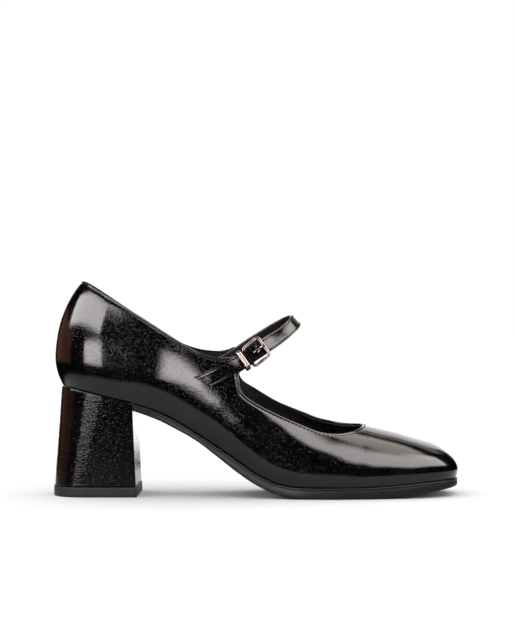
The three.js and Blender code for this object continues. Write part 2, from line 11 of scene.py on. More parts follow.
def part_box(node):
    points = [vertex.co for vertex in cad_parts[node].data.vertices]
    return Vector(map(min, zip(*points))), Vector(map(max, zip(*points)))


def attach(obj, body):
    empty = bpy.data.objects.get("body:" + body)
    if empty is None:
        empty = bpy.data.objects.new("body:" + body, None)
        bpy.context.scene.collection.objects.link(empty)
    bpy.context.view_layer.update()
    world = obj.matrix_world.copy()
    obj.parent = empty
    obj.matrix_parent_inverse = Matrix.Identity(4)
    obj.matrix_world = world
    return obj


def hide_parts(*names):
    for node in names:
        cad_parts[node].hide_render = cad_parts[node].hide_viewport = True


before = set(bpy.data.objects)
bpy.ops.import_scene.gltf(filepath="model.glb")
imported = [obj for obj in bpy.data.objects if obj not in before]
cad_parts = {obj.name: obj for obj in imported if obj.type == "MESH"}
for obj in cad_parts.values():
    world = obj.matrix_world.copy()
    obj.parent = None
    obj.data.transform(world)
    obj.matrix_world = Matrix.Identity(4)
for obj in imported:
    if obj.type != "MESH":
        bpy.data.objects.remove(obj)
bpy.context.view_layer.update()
print("frame loaded")

# Lengths are in millimetres, from the back of the counter, until toRow moves them into the frame.
metre = 0.001
liftLow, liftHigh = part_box("top_lift")
liftBack = -0.3
rowShift = Vector((liftLow.x / metre - liftBack, (liftLow.y + liftHigh.y) / 2 / metre, 0))


def toRow(point):
    return (Vector(point) + rowShift) * metre


# The last: its widest line, ridge and feather line, the same as the frame's own.
last = {
    "length": 237.4,
    "wall": 2.0,
    "gap": 0.3,
    "x": [0, 30, 60, 90, 110, 130, 150, 165, 182, 200, 220, 238],
    "middle": [0, 0, 0, 0, 0, 0, 0.4, 0.8, 1.5, 2.2, 2.8, 3],
    "lateral": [27, 27.5, 28, 32.2, 34.8, 37.1, 39.2, 39.6, 38.6, 36, 32.4, 30],
    "medial": [27, 27, 25.5, 27.2, 29.6, 32.4, 35.2, 37, 37, 35.4, 32.4, 30],
    "tuck": [4.6, 4, 5.4, 5.4, 4.4, 2.8, 1.6, 1.2, 1.2, 1.2, 1.3, 1.4],
    "belly": [14.5, 15.5, 19, 18, 14, 10, 7.4, 6.5, 6, 5.8, 5.4, 5],
    "crest": [136.8, 136.8, 134, 120, 102, 74, 52.5, 46, 41, 36.6, 31, 26.4],
    "crestY": [0, 0, 0, 1.6, 2.8, 3.4, 3.8, 4.2, 4.4, 4.2, 3.6, 3],
    "fullness": [2, 2, 2, 2.1, 2.2, 2.2, 2.3, 2.25, 2.2, 2.15, 2.15, 2.1],
    "soleX": [0, 20, 40, 60, 72, 84, 96, 108, 120, 132, 144, 178, 190, 204, 218, 238],
    "soleTop": [65.2, 61.1, 56.1, 49.9, 44.3, 37.1, 29.4, 21.4, 13.4, 8.4, 6.7, 6.6, 7, 7.9, 9, 10.2],
    "soleLow": [61, 57, 52.1, 45.4, 39.6, 32.9, 24, 14.8, 7.1, 2.2, 0, 0, 0.3, 1.1, 3, 5.8],
    "lateralTopX": [0, 17, 52, 75, 87, 97, 103, 106.6, 107.8, 108.4, 109, 111.2, 117.4, 130.6, 150],
    "lateralTopZ": [136, 125.5, 104.2, 89.7, 83.2, 80.5, 80.8, 81.6, 79, 71, 65, 60, 55.2, 48.3, 39.9],
    "medialTopX": [0, 17, 52, 66, 75, 87, 95, 101, 105.4, 106.8, 107.3, 108, 110.4, 118, 131.6, 150],
    "medialTopZ": [136, 125.5, 101.9, 92.7, 87.9, 84.4, 83.7, 84.6, 86.2, 83, 75, 69.4, 65.8, 61, 53.1, 45.8],
    "throatStart": 150,
    "throatTip": 182,
    "throatSquareness": 2.6,
    "heelRound": 30,
    "heelSquareness": 2,
    "heelFanSpan": 80,
    "heelFanReach": 40,
    "toeRound": 205,
    "toeSquareness": 2.6,
    "toeFanSpan": 52.4,
    "toeFanReach": 19.4,
}


# Smooth line through the rows of a table, which never overshoots them.
def curveThrough(xs, ys):
    slopes = [(ys[i + 1] - ys[i]) / (xs[i + 1] - xs[i]) for i in range(len(xs) - 1)]
    lean = [slopes[0]]
    for before, after in zip(slopes, slopes[1:]):
        lean.append(0 if before * after <= 0 else 2 * before * after / (before + after))
    lean.append(slopes[-1])

    def at(x):
        if x <= xs[0]:
            return ys[0]
        if x >= xs[-1]:
            return ys[-1]
        i = bisect_right(xs, x) - 1
        step = xs[i + 1] - xs[i]
        t = (x - xs[i]) / step
        value = (2 * t**3 - 3 * t**2 + 1) * ys[i] + (3 * t**2 - 2 * t**3) * ys[i + 1]
        return value + step * ((t**3 - 2 * t**2 + t) * lean[i] + (t**3 - t**2) * lean[i + 1])

    return at


middleAt, lateralAt, medialAt, tuckAt, bellyAt, crestAt, crestYAt, fullnessAt = (
    curveThrough(last["x"], last[column])
    for column in ("middle", "lateral", "medial", "tuck", "belly", "crest", "crestY", "fullness")
)
soleTopAt = curveThrough(last["soleX"], last["soleTop"])
soleLowAt = curveThrough(last["soleX"], last["soleLow"])
lateralTopAt = curveThrough(last["lateralTopX"], last["lateralTopZ"])
medialTopAt = curveThrough(last["medialTopX"], last["medialTopZ"])


def shoulder(fraction, power):
    return (1 - (1 - fraction) ** power) ** (1 / power)


def smooth(value):
    value = min(max(value, 0), 1)
    return value * value * (3 - 2 * value)


# A bell of height 1 that fades out to both sides.
def hump(distance, width):
    return math.exp(-((distance / width) ** 2))


# Side is -1 for lateral and 1 for medial throughout.
def widest(side, x):
    half = (lateralAt if side < 0 else medialAt)(x)
    end = 1
    if x < last["heelRound"]:
        end = shoulder(x / last["heelRound"], last["heelSquareness"])
    if x > last["toeRound"]:
        left = max(last["length"] - x, 0) / (last["length"] - last["toeRound"])
        end = shoulder(left, last["toeSquareness"])
    return middleAt(x) + side * half * end


# Places round the outline go by an angle, 0 at the back of the counter and pi at the toe.
def turnToX(turn):
    return last["length"] * (1 - math.cos(turn)) / 2


def xToTurn(x):
    return math.acos(1 - 2 * min(max(x / last["length"], 0), 1))


def inward(side, turn):
    start, end = max(turn - 0.004, 0), min(turn + 0.004, math.pi)
    if start == 0:
        return Vector((1, 0))
    if end == math.pi:
        return Vector((-1, 0))
    dx = turnToX(end) - turnToX(start)
    dy = widest(side, turnToX(end)) - widest(side, turnToX(start))
    return Vector((side * dy, -side * dx)).normalized()


def edgePoint(side, turn, inset=0):
    x = turnToX(turn)
    return Vector((x, widest(side, x))) + inward(side, turn) * inset


def crestX(x):
    if x < last["heelFanSpan"]:
        return x + last["heelFanReach"] * (1 - x / last["heelFanSpan"]) ** 2
    fan = (x - (last["length"] - last["toeFanSpan"])) / last["toeFanSpan"]
    return x - last["toeFanReach"] * fan**2 if fan > 0 else x


def wallPoint(side, turn, reach):
    x = turnToX(turn)
    ridge = crestX(x)
    spot = edgePoint(side, turn).lerp(Vector((ridge, crestYAt(ridge))), reach)
    base = soleTopAt(x) + bellyAt(x)
    rise = shoulder(min(max(reach, 0), 1), fullnessAt(x))
    return Vector((spot.x, spot.y, base + (crestAt(spot.x) - base) * rise))


def tuckPoint(side, turn, climb):
    x = turnToX(turn)
    spot = edgePoint(side, turn, tuckAt(x) * (1 - climb) ** 2)
    return Vector((spot.x, spot.y, soleTopAt(spot.x) + last["gap"] / 2 + bellyAt(x) * climb))


def bisect(isUnder, low, high):
    for step in range(34):
        middle = (low + high) / 2
        if isUnder(middle):
            low = middle
        else:
            high = middle
    return (low + high) / 2


def toplineReach(side, turn):
    x = turnToX(turn)
    if x >= last["throatTip"] - 1e-6:
        return 1
    if x <= last["throatStart"]:
        topAt = lateralTopAt if side < 0 else medialTopAt

        def under(reach):
            point = wallPoint(side, turn, reach)
            return point.z < topAt(point.x)

        return bisect(under, 0, 1)
    start = xToTurn(last["throatStart"])
    startPoint = wallPoint(side, start, toplineReach(side, start))
    halfGape = abs(startPoint.y - crestYAt(last["throatStart"]))
    run = (x - last["throatStart"]) / (last["throatTip"] - last["throatStart"])
    gape = halfGape * shoulder(1 - run, last["throatSquareness"])
    return 1 - gape / abs(widest(side, x) - crestYAt(x))


# Section lines, spaced by a table so that seams and the throat get enough of them.
def stationTurns(xs, steps, landmarks=()):
    stepAt = curveThrough(xs, steps)
    samples = 3000
    reach = [0]
    before = edgePoint(-1, 0)
    for i in range(1, samples + 1):
        after = edgePoint(-1, math.pi * i / samples)
        reach.append(reach[-1] + (after - before).length / stepAt(after.x))
        before = after
    count = round(reach[-1])
    turns = []
    for k in range(count + 1):
        goal = reach[-1] * k / count
        i = min(max(bisect_right(reach, goal) - 1, 0), samples - 1)
        turns.append(math.pi * (i + (goal - reach[i]) / (reach[i + 1] - reach[i])) / samples)
    for x in landmarks:
        turn = xToTurn(x)
        nearest = min(range(len(turns)), key=lambda k: abs(turns[k] - turn))
        turns[nearest] = turn
    return turns


def makeObject(name, points, faces, finish, sharpAngle=40):
    mesh = bpy.data.meshes.new(name)
    mesh.from_pydata([toRow(p) for p in points], [], faces)
    work = bmesh.new()
    work.from_mesh(mesh)
    bmesh.ops.remove_doubles(work, verts=work.verts, dist=2e-6)
    bmesh.ops.dissolve_degenerate(work, edges=work.edges, dist=1e-7)
    bmesh.ops.recalc_face_normals(work, faces=work.faces)
    for face in work.faces:
        face.smooth = True
    work.to_mesh(mesh)
    work.free()
    mesh.set_sharp_from_angle(angle=math.radians(sharpAngle))
    mesh.materials.append(finish)
    made = bpy.data.objects.new(name, mesh)
    bpy.context.scene.collection.objects.link(made)
    return made


def joinShoe(piece, slotName, *nodes):
    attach(piece, "root")
    if nodes:
        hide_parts(*nodes)
    return piece


# Faces over rings that all have the same number of points, capped or joined end to end.
def skinFaces(ringCount, size, loop=False, shift=0):
    faces = []
    for i in range(ringCount if loop else ringCount - 1):
        follow = (i + 1) % ringCount
        for j in range(size):
            k = (j + 1) % size
            corners = (i * size + j, i * size + k, follow * size + k, follow * size + j)
            faces.append([shift + corner for corner in corners])
    if not loop:
        end = shift + (ringCount - 1) * size
        faces.append([shift + j for j in reversed(range(size))])
        faces.append([end + j for j in range(size)])
    return faces


def skinObject(name, rings, finish, loop=False, sharpAngle=40):
    faces = skinFaces(len(rings), len(rings[0]), loop)
    return makeObject(name, [p for ring in rings for p in ring], faces, finish, sharpAngle)


# Thread seen from outside: short rounded stitches that dip into the leather at both ends.
def stitchObject(name, runs, settings, finish):
    points, faces = [], []
    profile = [(-0.5, 0.3), (-0.42, 0.75), (-0.22, 1), (0.22, 1), (0.42, 0.75), (0.5, 0.3)]
    sides = 7
    for run in runs:
        for centre, tangent, normal in run:
            across = tangent.cross(normal).normalized()
            rings = []
            for along, girth in profile:
                radius = settings["radius"] * girth
                lift = settings["radius"] * (0.45 - 2.6 * along * along)
                spot = centre + tangent * (along * settings["length"]) + normal * lift
                rings.append([
                    spot + across * (radius * math.cos(math.tau * k / sides))
                    + normal * (radius * math.sin(math.tau * k / sides))
                    for k in range(sides)
                ])
            faces += skinFaces(len(rings), sides, shift=len(points))
            points += [p for ring in rings for p in ring]
    return makeObject(name, points, faces, finish)


class Signal:
    # A node output that adds its Math nodes when it is used in an expression.
    def __init__(self, finish, socket):
        self.finish = finish
        self.socket = socket

    def maths(self, operation, first, second):
        return self.finish.node("ShaderNodeMath", {"operation": operation}, {0: first, 1: second})

    def __add__(self, other):
        return self.maths("ADD", self, other)

    def __radd__(self, other):
        return self.maths("ADD", other, self)

    def __sub__(self, other):
        return self.maths("SUBTRACT", self, other)

    def __rsub__(self, other):
        return self.maths("SUBTRACT", other, self)

    def __mul__(self, other):
        return self.maths("MULTIPLY", self, other)

    def __rmul__(self, other):
        return self.maths("MULTIPLY", other, self)


class Finish:
    def __init__(self, name):
        self.material = bpy.data.materials.new(name)
        self.material.use_nodes = True
        self.tree = self.material.node_tree
        self.shader = self.tree.nodes["Principled BSDF"]
        place = self.node("ShaderNodeTexCoord", {}, {}, "Object")
        self.place = self.node("ShaderNodeVectorMath", {"operation": "SCALE"}, {0: place, "Scale": 1 / metre})

    def node(self, kind, settings, sockets, output=0):
        made = self.tree.nodes.new(kind)
        for key, value in settings.items():
            if key == "stops":
                while len(made.color_ramp.elements) < len(value):
                    made.color_ramp.elements.new(0.5)
                for element, (position, color) in zip(made.color_ramp.elements, value):
                    element.position = position
                    element.color = color
            else:
                setattr(made, key, value)
        for key, value in sockets.items():
            self.plug(made.inputs[key], value)
        return Signal(self, made.outputs[output])

    def plug(self, socket, value):
        if isinstance(value, Signal):
            self.tree.links.new(value.socket, socket)
        else:
            socket.default_value = value

    # Noise over the piece, with the size of its features in millimetres, stretched if asked.
    def grain(self, size, detail=2.0, roughness=0.5, distortion=0.0, stretch=(1, 1, 1)):
        place = self.place
        if stretch != (1, 1, 1):
            place = self.node("ShaderNodeVectorMath", {"operation": "MULTIPLY"}, {0: place, 1: stretch})
        return self.node("ShaderNodeTexNoise", {}, {
            "Vector": place, "Scale": 1 / size,
            "Detail": detail, "Roughness": roughness, "Distortion": distortion,
        })

    def cells(self, size):
        return self.node("ShaderNodeTexVoronoi", {"feature": "DISTANCE_TO_EDGE"}, {
            "Vector": self.place, "Scale": 1 / size,
        })

    def range(self, value, low, high, newLow=0.0, newHigh=1.0):
        return self.node("ShaderNodeMapRange", {"interpolation_type": "SMOOTHSTEP"}, {
            "Value": value, "From Min": low, "From Max": high, "To Min": newLow, "To Max": newHigh,
        })

    def blend(self, share, first, second):
        return self.node("ShaderNodeMix", {"data_type": "RGBA"}, {0: share, 6: (*first, 1), 7: (*second, 1)}, 2)

    # Height is in millimetres.
    def finish(self, color, roughness, height, **fixed):
        bump = self.node("ShaderNodeBump", {}, {"Strength": 1.0, "Distance": metre, "Height": height})
        self.plug(self.shader.inputs["Base Color"], color if isinstance(color, Signal) else (*color, 1))
        self.plug(self.shader.inputs["Roughness"], roughness)
        self.plug(self.shader.inputs["Normal"], bump)
        for key, value in fixed.items():
            self.shader.inputs[key].default_value = value
        return self.material


patentLook = {
    "black": (0.0016, 0.0014, 0.0014),
    "wornBlack": (0.0038, 0.0033, 0.0032),
    "gloss": (0.02, 0.05),
    "grainSize": 1.4,
    "grainHeight": 0.014,
    "creaseSize": 4,
    "creaseHeight": 0.02,
    "poreSize": 0.76,
    "poreHeight": 0.034,
    "pitSize": 0.72,
    "pitHeight": 0.02,
    "foldSize": 2.0,
    "foldHeight": 0.0,
    "shine": 0.5,
}


def patentLeather(name, look, stretch=(1, 1, 1)):
    finish = Finish(name)
    soft = finish.grain(look["creaseSize"], 2.0, 0.5, 0.6, stretch)
    grain = finish.grain(look["grainSize"], 3.0, 0.6, 0.3, stretch)
    pores = finish.grain(look["poreSize"], 1.5, 0.6)
    folds = finish.grain(look["foldSize"], 1.0, 0.5, 0.5, stretch)
    pits = finish.range(finish.grain(look["pitSize"], 1.0), 0.64, 0.72)
    height = (soft * look["creaseHeight"] + grain * look["grainHeight"] + pores * look["poreHeight"]
              - pits * look["pitHeight"] + folds * look["foldHeight"])
    patches = finish.grain(14, 3.0)
    gloss = finish.range(patches * 0.6 + grain * 0.4, 0.35, 0.65, *look["gloss"])
    color = finish.blend(finish.range(patches, 0.4, 0.7), look["black"], look["wornBlack"])
    return finish.finish(color, gloss, height, **{"IOR": 1.5, "Specular IOR Level": look["shine"]})


upperPatent = patentLeather("patentLeather", patentLook)

coverLook = dict(patentLook, gloss=(0.04, 0.08), grainHeight=0.01, creaseHeight=0.01, poreHeight=0.003,
                 pitHeight=0.0, foldSize=0.8, foldHeight=0.15, shine=0.2)
heelCover = patentLeather("heelCover", coverLook, (0.42, 0.42, 1))

liningLook = {"dark": (0.005, 0.0034, 0.0029), "light": (0.012, 0.0085, 0.0072), "roughness": (0.5, 0.66)}


def plainLeather(name, look):
    finish = Finish(name)
    pores = finish.range(finish.cells(0.9), 0.02, 0.3)
    patches = finish.grain(9, 4.0, 0.6)
    nap = finish.grain(0.5, 2.0)
    color = finish.blend(finish.range(patches * 0.7 + nap * 0.3, 0.35, 0.68), look["dark"], look["light"])
    roughness = finish.range(patches, 0.35, 0.65, *look["roughness"])
    height = pores * 0.03 + nap * 0.02 + patches * 0.05
    return finish.finish(color, roughness, height, **{"Specular IOR Level": 0.3})


liningLeather = plainLeather("liningLeather", liningLook)
sockLook = {"dark": (0.009, 0.0075, 0.007), "light": (0.02, 0.016, 0.0145), "roughness": (0.5, 0.68)}
sockLeather = plainLeather("sockLeather", sockLook)

soleLook = {"dark": (0.004, 0.0035, 0.0038), "light": (0.009, 0.008, 0.0085), "roughness": (0.3, 0.42)}
liftLook = {"dark": (0.011, 0.0095, 0.0102), "light": (0.02, 0.0175, 0.019), "roughness": (0.5, 0.66)}


def rubber(name, look, grit):
    finish = Finish(name)
    speckle = finish.grain(0.55, 3.0, 0.65)
    clouds = finish.grain(11, 3.0)
    scuffs = finish.range(finish.grain(2.4, 4.0, 0.7, 0.8, (0.25, 0.25, 2.2)), 0.6, 0.74)
    color = finish.blend(clouds * 0.6 + speckle * 0.4 + scuffs * 0.15, look["dark"], look["light"])
    roughness = finish.range(clouds * 0.5 + speckle * 0.5, 0.35, 0.65, *look["roughness"])
    height = speckle * grit + clouds * 0.04
    return finish.finish(color, roughness + scuffs * 0.06, height, **{"Specular IOR Level": 0.25})


soleRubber = rubber("soleRubber", soleLook, 0.012)
liftRubber = rubber("liftRubber", liftLook, 0.03)

# The dull colour serves both the random haze tarnish and the painted shade in the wire's groove.
nickelLook = {"bright": (0.26, 0.215, 0.2), "tarnishedAndShaded": (0.03, 0.025, 0.024), "roughness": (0.18, 0.28)}


def polishedNickel(name, look):
    finish = Finish(name)
    scratches = finish.grain(0.35, 3.0, 0.6, 0.2, (0.2, 1, 1))
    haze = finish.grain(2.2, 3.0)
    groove = finish.node("ShaderNodeAttribute", {"attribute_name": "groove"}, {}, "Fac")
    # Random haze tarnish plus painted shade: the nickel is darkened along its groove, where shade falls.
    tarnishAndGrooveShade = finish.range(haze * 0.35 + groove, 0.25, 0.9)
    color = finish.blend(tarnishAndGrooveShade, look["bright"], look["tarnishedAndShaded"])
    roughness = finish.range(haze * 0.6 + scratches * 0.4, 0.35, 0.65, *look["roughness"])
    return finish.finish(color, roughness, scratches * 0.001 + haze * 0.004, Metallic=1.0)


# How deep each point lies in its piece's groove, for the finish to paint shade into.
def markGrooveShade(piece, depths):
    layer = piece.data.attributes.new("groove", "FLOAT", "POINT")
    tree = kdtree.KDTree(len(depths))
    for k, (spot, depth) in enumerate(depths):
        tree.insert(toRow(spot), k)
    tree.balance()
    for vertex in piece.data.vertices:
        layer.data[vertex.index].value = depths[tree.find(vertex.co)[1]][1]
    return piece


nickel = polishedNickel("nickel", nickelLook)

threadLook = {"dark": (0.004, 0.0035, 0.0035), "light": (0.015, 0.0135, 0.0135), "twist": 0.42}


def waxedThread(name, look):
    finish = Finish(name)
    ply = finish.node("ShaderNodeTexWave", {"bands_direction": "DIAGONAL"}, {
        "Vector": finish.place, "Scale": 1 / look["twist"] / math.pi, "Distortion": 1.2, "Detail": 1.0,
    }, "Fac")
    fuzz = finish.grain(0.2, 2.0)
    color = finish.blend(ply * 0.7 + fuzz * 0.3, look["dark"], look["light"])
    roughness = finish.range(fuzz, 0.3, 0.7, 0.4, 0.6)
    return finish.finish(color, roughness, ply * 0.05 + fuzz * 0.01, **{"Specular IOR Level": 0.15})


thread = waxedThread("waxedThread", threadLook)
print("finishes made")


# Upper: outer leather with a folded rim, and the lining inside it.
upper = {
    "stationX": [0, 3, 8, 98, 104, 106, 112, 116, 122, 160, 174, 179, 182, 186, 192, 205, 238],
    "stationStep": [0.35, 0.8, 2, 1.9, 0.9, 0.45, 0.45, 0.9, 1.8, 1.7, 0.8, 0.42, 0.3, 0.45, 1.5, 1.5, 1.6],
    "topRows": [0, 0.3, 0.6, 0.85, 1.1, 1.35, 1.65, 2.1, 3, 4.3],
    "bodyRows": 30,
    "leather": 1.0,
    "rimSteps": 5,
    "rimBulge": 0.6,
    "stitchInset": 1.1,
    "grooveDepth": 0.28,
    "grooveWidth": 0.36,
    "rimSwell": 0.08,
    "rimSwellWidth": 0.8,
    "rimCalm": 6,
    "seamDepth": 0.28,
    "seamWidth": 0.4,
    "seamTo": 8,
    "liningDrop": 0.9,
    "waveSize": 14,
    "waveHeight": 0.09,
    "rippleSize": 5,
    "rippleHeight": 0.012,
}
turns = stationTurns(upper["stationX"], upper["stationStep"], [last["throatStart"], last["throatTip"]])
tipStation = min(range(len(turns)), key=lambda k: abs(turnToX(turns[k]) - last["throatTip"]))


# One section line from the feather edge to the topline, with its rows counted down from the top.
def sectionLine(side, turn):
    power = fullnessAt(turnToX(turn))
    reach = toplineReach(side, turn)
    top = math.acos(min(max(1 - reach, 0) ** (power / 2), 1))
    fine = [tuckPoint(side, turn, i / 8) for i in range(8)]
    fineCount = 64
    for i in range(fineCount):
        fine.append(wallPoint(side, turn, 1 - math.cos(top * i / fineCount) ** (2 / power)))
    fine.append(wallPoint(side, turn, reach))
    along = [0.0]
    for before, after in zip(fine, fine[1:]):
        along.append(along[-1] + (after - before).length)
    length = along[-1]
    down = list(upper["topRows"])
    rest = length - down[-1]
    down += [down[-1] + rest * i / upper["bodyRows"] for i in range(1, upper["bodyRows"] + 1)]
    goals = [length - d for d in reversed(down)]
    coordinates = np.array([tuple(p) for p in fine])
    spread = [np.interp(goals, along, coordinates[:, axis]) for axis in range(3)]
    return np.stack(spread, axis=1)


sides = {side: np.array([sectionLine(side, turn) for turn in turns]) for side in (-1, 1)}
# The two sides make one ring of section lines: lateral from heel to toe, then medial back again.
ringLines = np.concatenate([sides[-1], sides[1][-2:0:-1]])
lineCount, rowCount = ringLines.shape[:2]
lastStation = len(turns) - 1


def isOpen(i):
    return i < tipStation or i > 2 * lastStation - tipStation


# Normals averaged over the ring, shared between the sides where they meet on the ridge.
def gridNormals(grid):
    acrossLines = np.roll(grid, -1, axis=0) - np.roll(grid, 1, axis=0)
    upRows = np.gradient(grid, axis=1)
    normals = np.cross(acrossLines, upRows)
    mates = [(2 * lastStation - i) % lineCount for i in range(lineCount)]
    top = normals[:, -1].copy()
    for i in range(lineCount):
        if not isOpen(i) or i in (tipStation, mates[tipStation]):
            normals[i, -1] = top[i] / np.linalg.norm(top[i]) + top[mates[i]] / np.linalg.norm(top[mates[i]])
    length = np.linalg.norm(normals, axis=2, keepdims=True)
    return normals / np.maximum(length, 1e-9)


ringNormals = gridNormals(ringLines)
if ringNormals[tipStation // 2, rowCount // 2, 1] > 0:
    ringNormals = -ringNormals

rimLines = [i for i in range(lineCount) if isOpen(i) or i == tipStation]
rimLines = [i for i in rimLines if i > tipStation] + [i for i in rimLines if i <= tipStation]
rimPoints = ringLines[rimLines, -1]
rimNormals = ringNormals[rimLines, -1]
rimTangents = np.roll(rimPoints, -1, axis=0) - np.roll(rimPoints, 1, axis=0)
rimTangents /= np.linalg.norm(rimTangents, axis=1, keepdims=True)
rimUps = np.cross(rimNormals, rimTangents)
rimUps /= np.linalg.norm(rimUps, axis=1, keepdims=True)
backLine = rimLines.index(0)
if rimUps[backLine, 2] < 0:
    rimUps = -rimUps

rimTree = kdtree.KDTree(len(rimPoints) * 4)
for k in range(len(rimPoints)):
    for part in range(4):
        spot = rimPoints[k] + (rimPoints[(k + 1) % len(rimPoints)] - rimPoints[k]) * part / 4
        rimTree.insert(Vector(spot), k * 4 + part)
rimTree.balance()


# Soft unevenness of the lasted leather, the groove the stitches pull in, and the back seam.
def leatherLift(point):
    x, y, z = point
    waves = noise.noise(Vector((x, y * 1.2, z * 1.4)) / upper["waveSize"]) * upper["waveHeight"]
    ripples = noise.noise(Vector((x + 40, y, z * 0.6)) / upper["rippleSize"]) * upper["rippleHeight"]
    lift = waves + ripples
    distance = rimTree.find(Vector(point))[2]
    if distance < upper["rimCalm"]:
        lift *= smooth((distance - 1) / 5)
        lift -= upper["grooveDepth"] * hump(distance - upper["stitchInset"], upper["grooveWidth"])
        lift += upper["rimSwell"] * hump(distance, upper["rimSwellWidth"])
    if x < upper["seamTo"]:
        lift -= upper["seamDepth"] * hump(y, upper["seamWidth"])
    return lift


lifts = np.array([[leatherLift(ringLines[i, j]) for j in range(rowCount)] for i in range(lineCount)])
for i in range(lineCount):
    mate = (2 * lastStation - i) % lineCount
    if not isOpen(i):
        lifts[i, -1] = lifts[mate, -1]
outerFace = ringLines + ringNormals * lifts[:, :, None]


def ringFaces():
    faces = []
    for i in range(lineCount):
        here, there = i * rowCount, (i + 1) % lineCount * rowCount
        faces += [[here + j, there + j, there + j + 1, here + j + 1] for j in range(rowCount - 1)]
    return faces


# A closed shell between two faces of the ring, with a rounded rim along the topline.
def shellObject(name, outside, inside, rimDrop, bulge, finish):
    outside, inside = outside.copy(), inside.copy()
    for k, i in enumerate(rimLines):
        drop = rimDrop * smooth((last["throatTip"] - 4 - ringLines[i, -1, 0]) / 10)
        outside[i, -1] -= rimUps[k] * drop
        inside[i, -1] -= rimUps[k] * drop
    size = lineCount * rowCount
    points = [tuple(p) for p in outside.reshape(-1, 3)] + [tuple(p) for p in inside.reshape(-1, 3)]
    faces = []
    for i in range(lineCount):
        follow = (i + 1) % lineCount
        for j in range(rowCount - 1):
            face = [i * rowCount + j, follow * rowCount + j, follow * rowCount + j + 1, i * rowCount + j + 1]
            faces.append(face)
            faces.append([k + size for k in reversed(face)])
        faces.append([follow * rowCount, i * rowCount, i * rowCount + size, follow * rowCount + size])
    rimRows = []
    for k, i in enumerate(rimLines):
        top, bottom = outside[i, -1], inside[i, -1]
        centre, half = (top + bottom) / 2, (top - bottom) / 2
        radius = np.linalg.norm(half)
        row = [i * rowCount + rowCount - 1]
        for step in range(1, upper["rimSteps"] + 1):
            angle = math.pi * step / (upper["rimSteps"] + 1)
            out = rimUps[k] * (radius * bulge * math.sin(angle))
            points.append(tuple(centre + half * math.cos(angle) + out))
            row.append(len(points) - 1)
        row.append(i * rowCount + rowCount - 1 + size)
        rimRows.append(row)
    for k in range(len(rimRows)):
        here, there = rimRows[k], rimRows[(k + 1) % len(rimRows)]
        for j in range(len(here) - 1):
            faces.append([here[j], there[j], there[j + 1], here[j + 1]])
    return makeObject(name, points, faces, finish, 50)


leatherBack = ringLines - ringNormals * upper["leather"]
upperLeather = shellObject("upperLeather", outerFace, leatherBack, 0, upper["rimBulge"], upperPatent)
liningFront = ringLines - ringNormals * (upper["leather"] + 0.04)
liningBack = ringLines - ringNormals * last["wall"]
upperLining = shellObject("upperLining", liningFront, liningBack, upper["liningDrop"], 0.5, liningLeather)
joinShoe(upperLeather, "patent_leather", "upper")
joinShoe(upperLining, "lining_leather", "upper")
print("upper made", len(upperLeather.data.polygons))

# The stitches lie on the outer face, just under the rim.
outerTree = BVHTree.FromPolygons([Vector(p) for p in outerFace.reshape(-1, 3)], ringFaces())
toplineThread = {"spacing": 2.4, "length": 1.6, "radius": 0.27}


# Evenly spaced places along a line, each with the share of the way between two of its points.
def evenPlaces(points, spacing, closed=False):
    along = [0.0]
    count = len(points) if closed else len(points) - 1
    for k in range(count):
        along.append(along[-1] + (points[(k + 1) % len(points)] - points[k]).length)
    places = []
    steps = int(along[-1] / spacing)
    for step in range(steps):
        goal = (step + 0.5) * along[-1] / steps
        k = min(bisect_right(along, goal) - 1, count - 1)
        places.append((k, (goal - along[k]) / max(along[k + 1] - along[k], 1e-9)))
    return places


def toplineStitches(settings):
    seam = []
    for k in range(len(rimPoints)):
        guess = Vector(rimPoints[k] - rimUps[k] * upper["stitchInset"])
        seam.append(outerTree.find_nearest(guess)[:2])
    spots = [spot for spot, facing in seam]
    run = []
    for k, share in evenPlaces(spots, settings["spacing"], True):
        after = (k + 1) % len(spots)
        tangent = (spots[after] - spots[k]).normalized()
        normal = seam[k][1].lerp(seam[after][1], share)
        if normal.dot(Vector(rimNormals[k])) < 0:
            normal = -normal
        normal = (normal - tangent * normal.dot(tangent)).normalized()
        run.append((spots[k].lerp(spots[after], share), tangent, normal))
    return run


toplineStitch = stitchObject("toplineStitch", [toplineStitches(toplineThread)], toplineThread, thread)
joinShoe(toplineStitch, "patent_leather")
print("topline stitched")


# Strap and buckle. Route rows are a place, the way the strap faces there, and its width.
strap = {
    "width": 9.1,
    "thick": 1.9,
    "route": [
        (115.5, 18.4, 87.6, 0.1, 0.93, 0.35, 9), (123, 17.4, 92.4, 0.18, 0.86, 0.5, 8.8),
        (130.4, 14.8, 97.2, 0.36, 0.66, 0.66, 8.4), (137.4, 10, 101.1, 0.58, 0.34, 0.74, 8),
        (141.4, 2, 102.4, 0.72, 0, 0.69, 7.8), (140.6, -6.5, 100.2, 0.62, -0.3, 0.74, 7.8),
        (135.8, -14.5, 95.6, 0.46, -0.52, 0.74, 8.2), (129.4, -20.4, 91, 0.3, -0.74, 0.6, 8.8),
    ],
    "insideSpots": [(97.5, 76.4), (102, 79.2), (107, 82.2)],
    "tailSpots": [(103, 74.4), (96, 70.6), (87.4, 66.6)],
    "tailSlant": (-4.6, 3),
    "rings": 300,
    "liningThick": 0.55,
    "edgeRound": 0.5,
    "crown": 0.12,
    "stitchInset": 1.15,
    "grooveDepth": 0.2,
    "grooveWidth": 0.34,
    "holeSpacing": 6.2,
    "holes": 4,
    "holeRadius": 0.75,
    "firstHole": 6,
    "lastHoleFromEnd": 12,
    "slotRadius": 1.05,
    "slotStretch": 2.1,
    "slantEase": 16,
}
buckle = {
    "earX": 107.2, "earZ": 76.2, "reach": 14.3, "length": 10.6, "inside": 10.8, "cornerRadius": 1.7,
    "railWidth": 1.8, "railThick": 1.5, "prongWire": 1.25, "keeperWire": 0.9, "keeperBand": 2.6,
}
gap, wall = last["gap"], last["wall"]


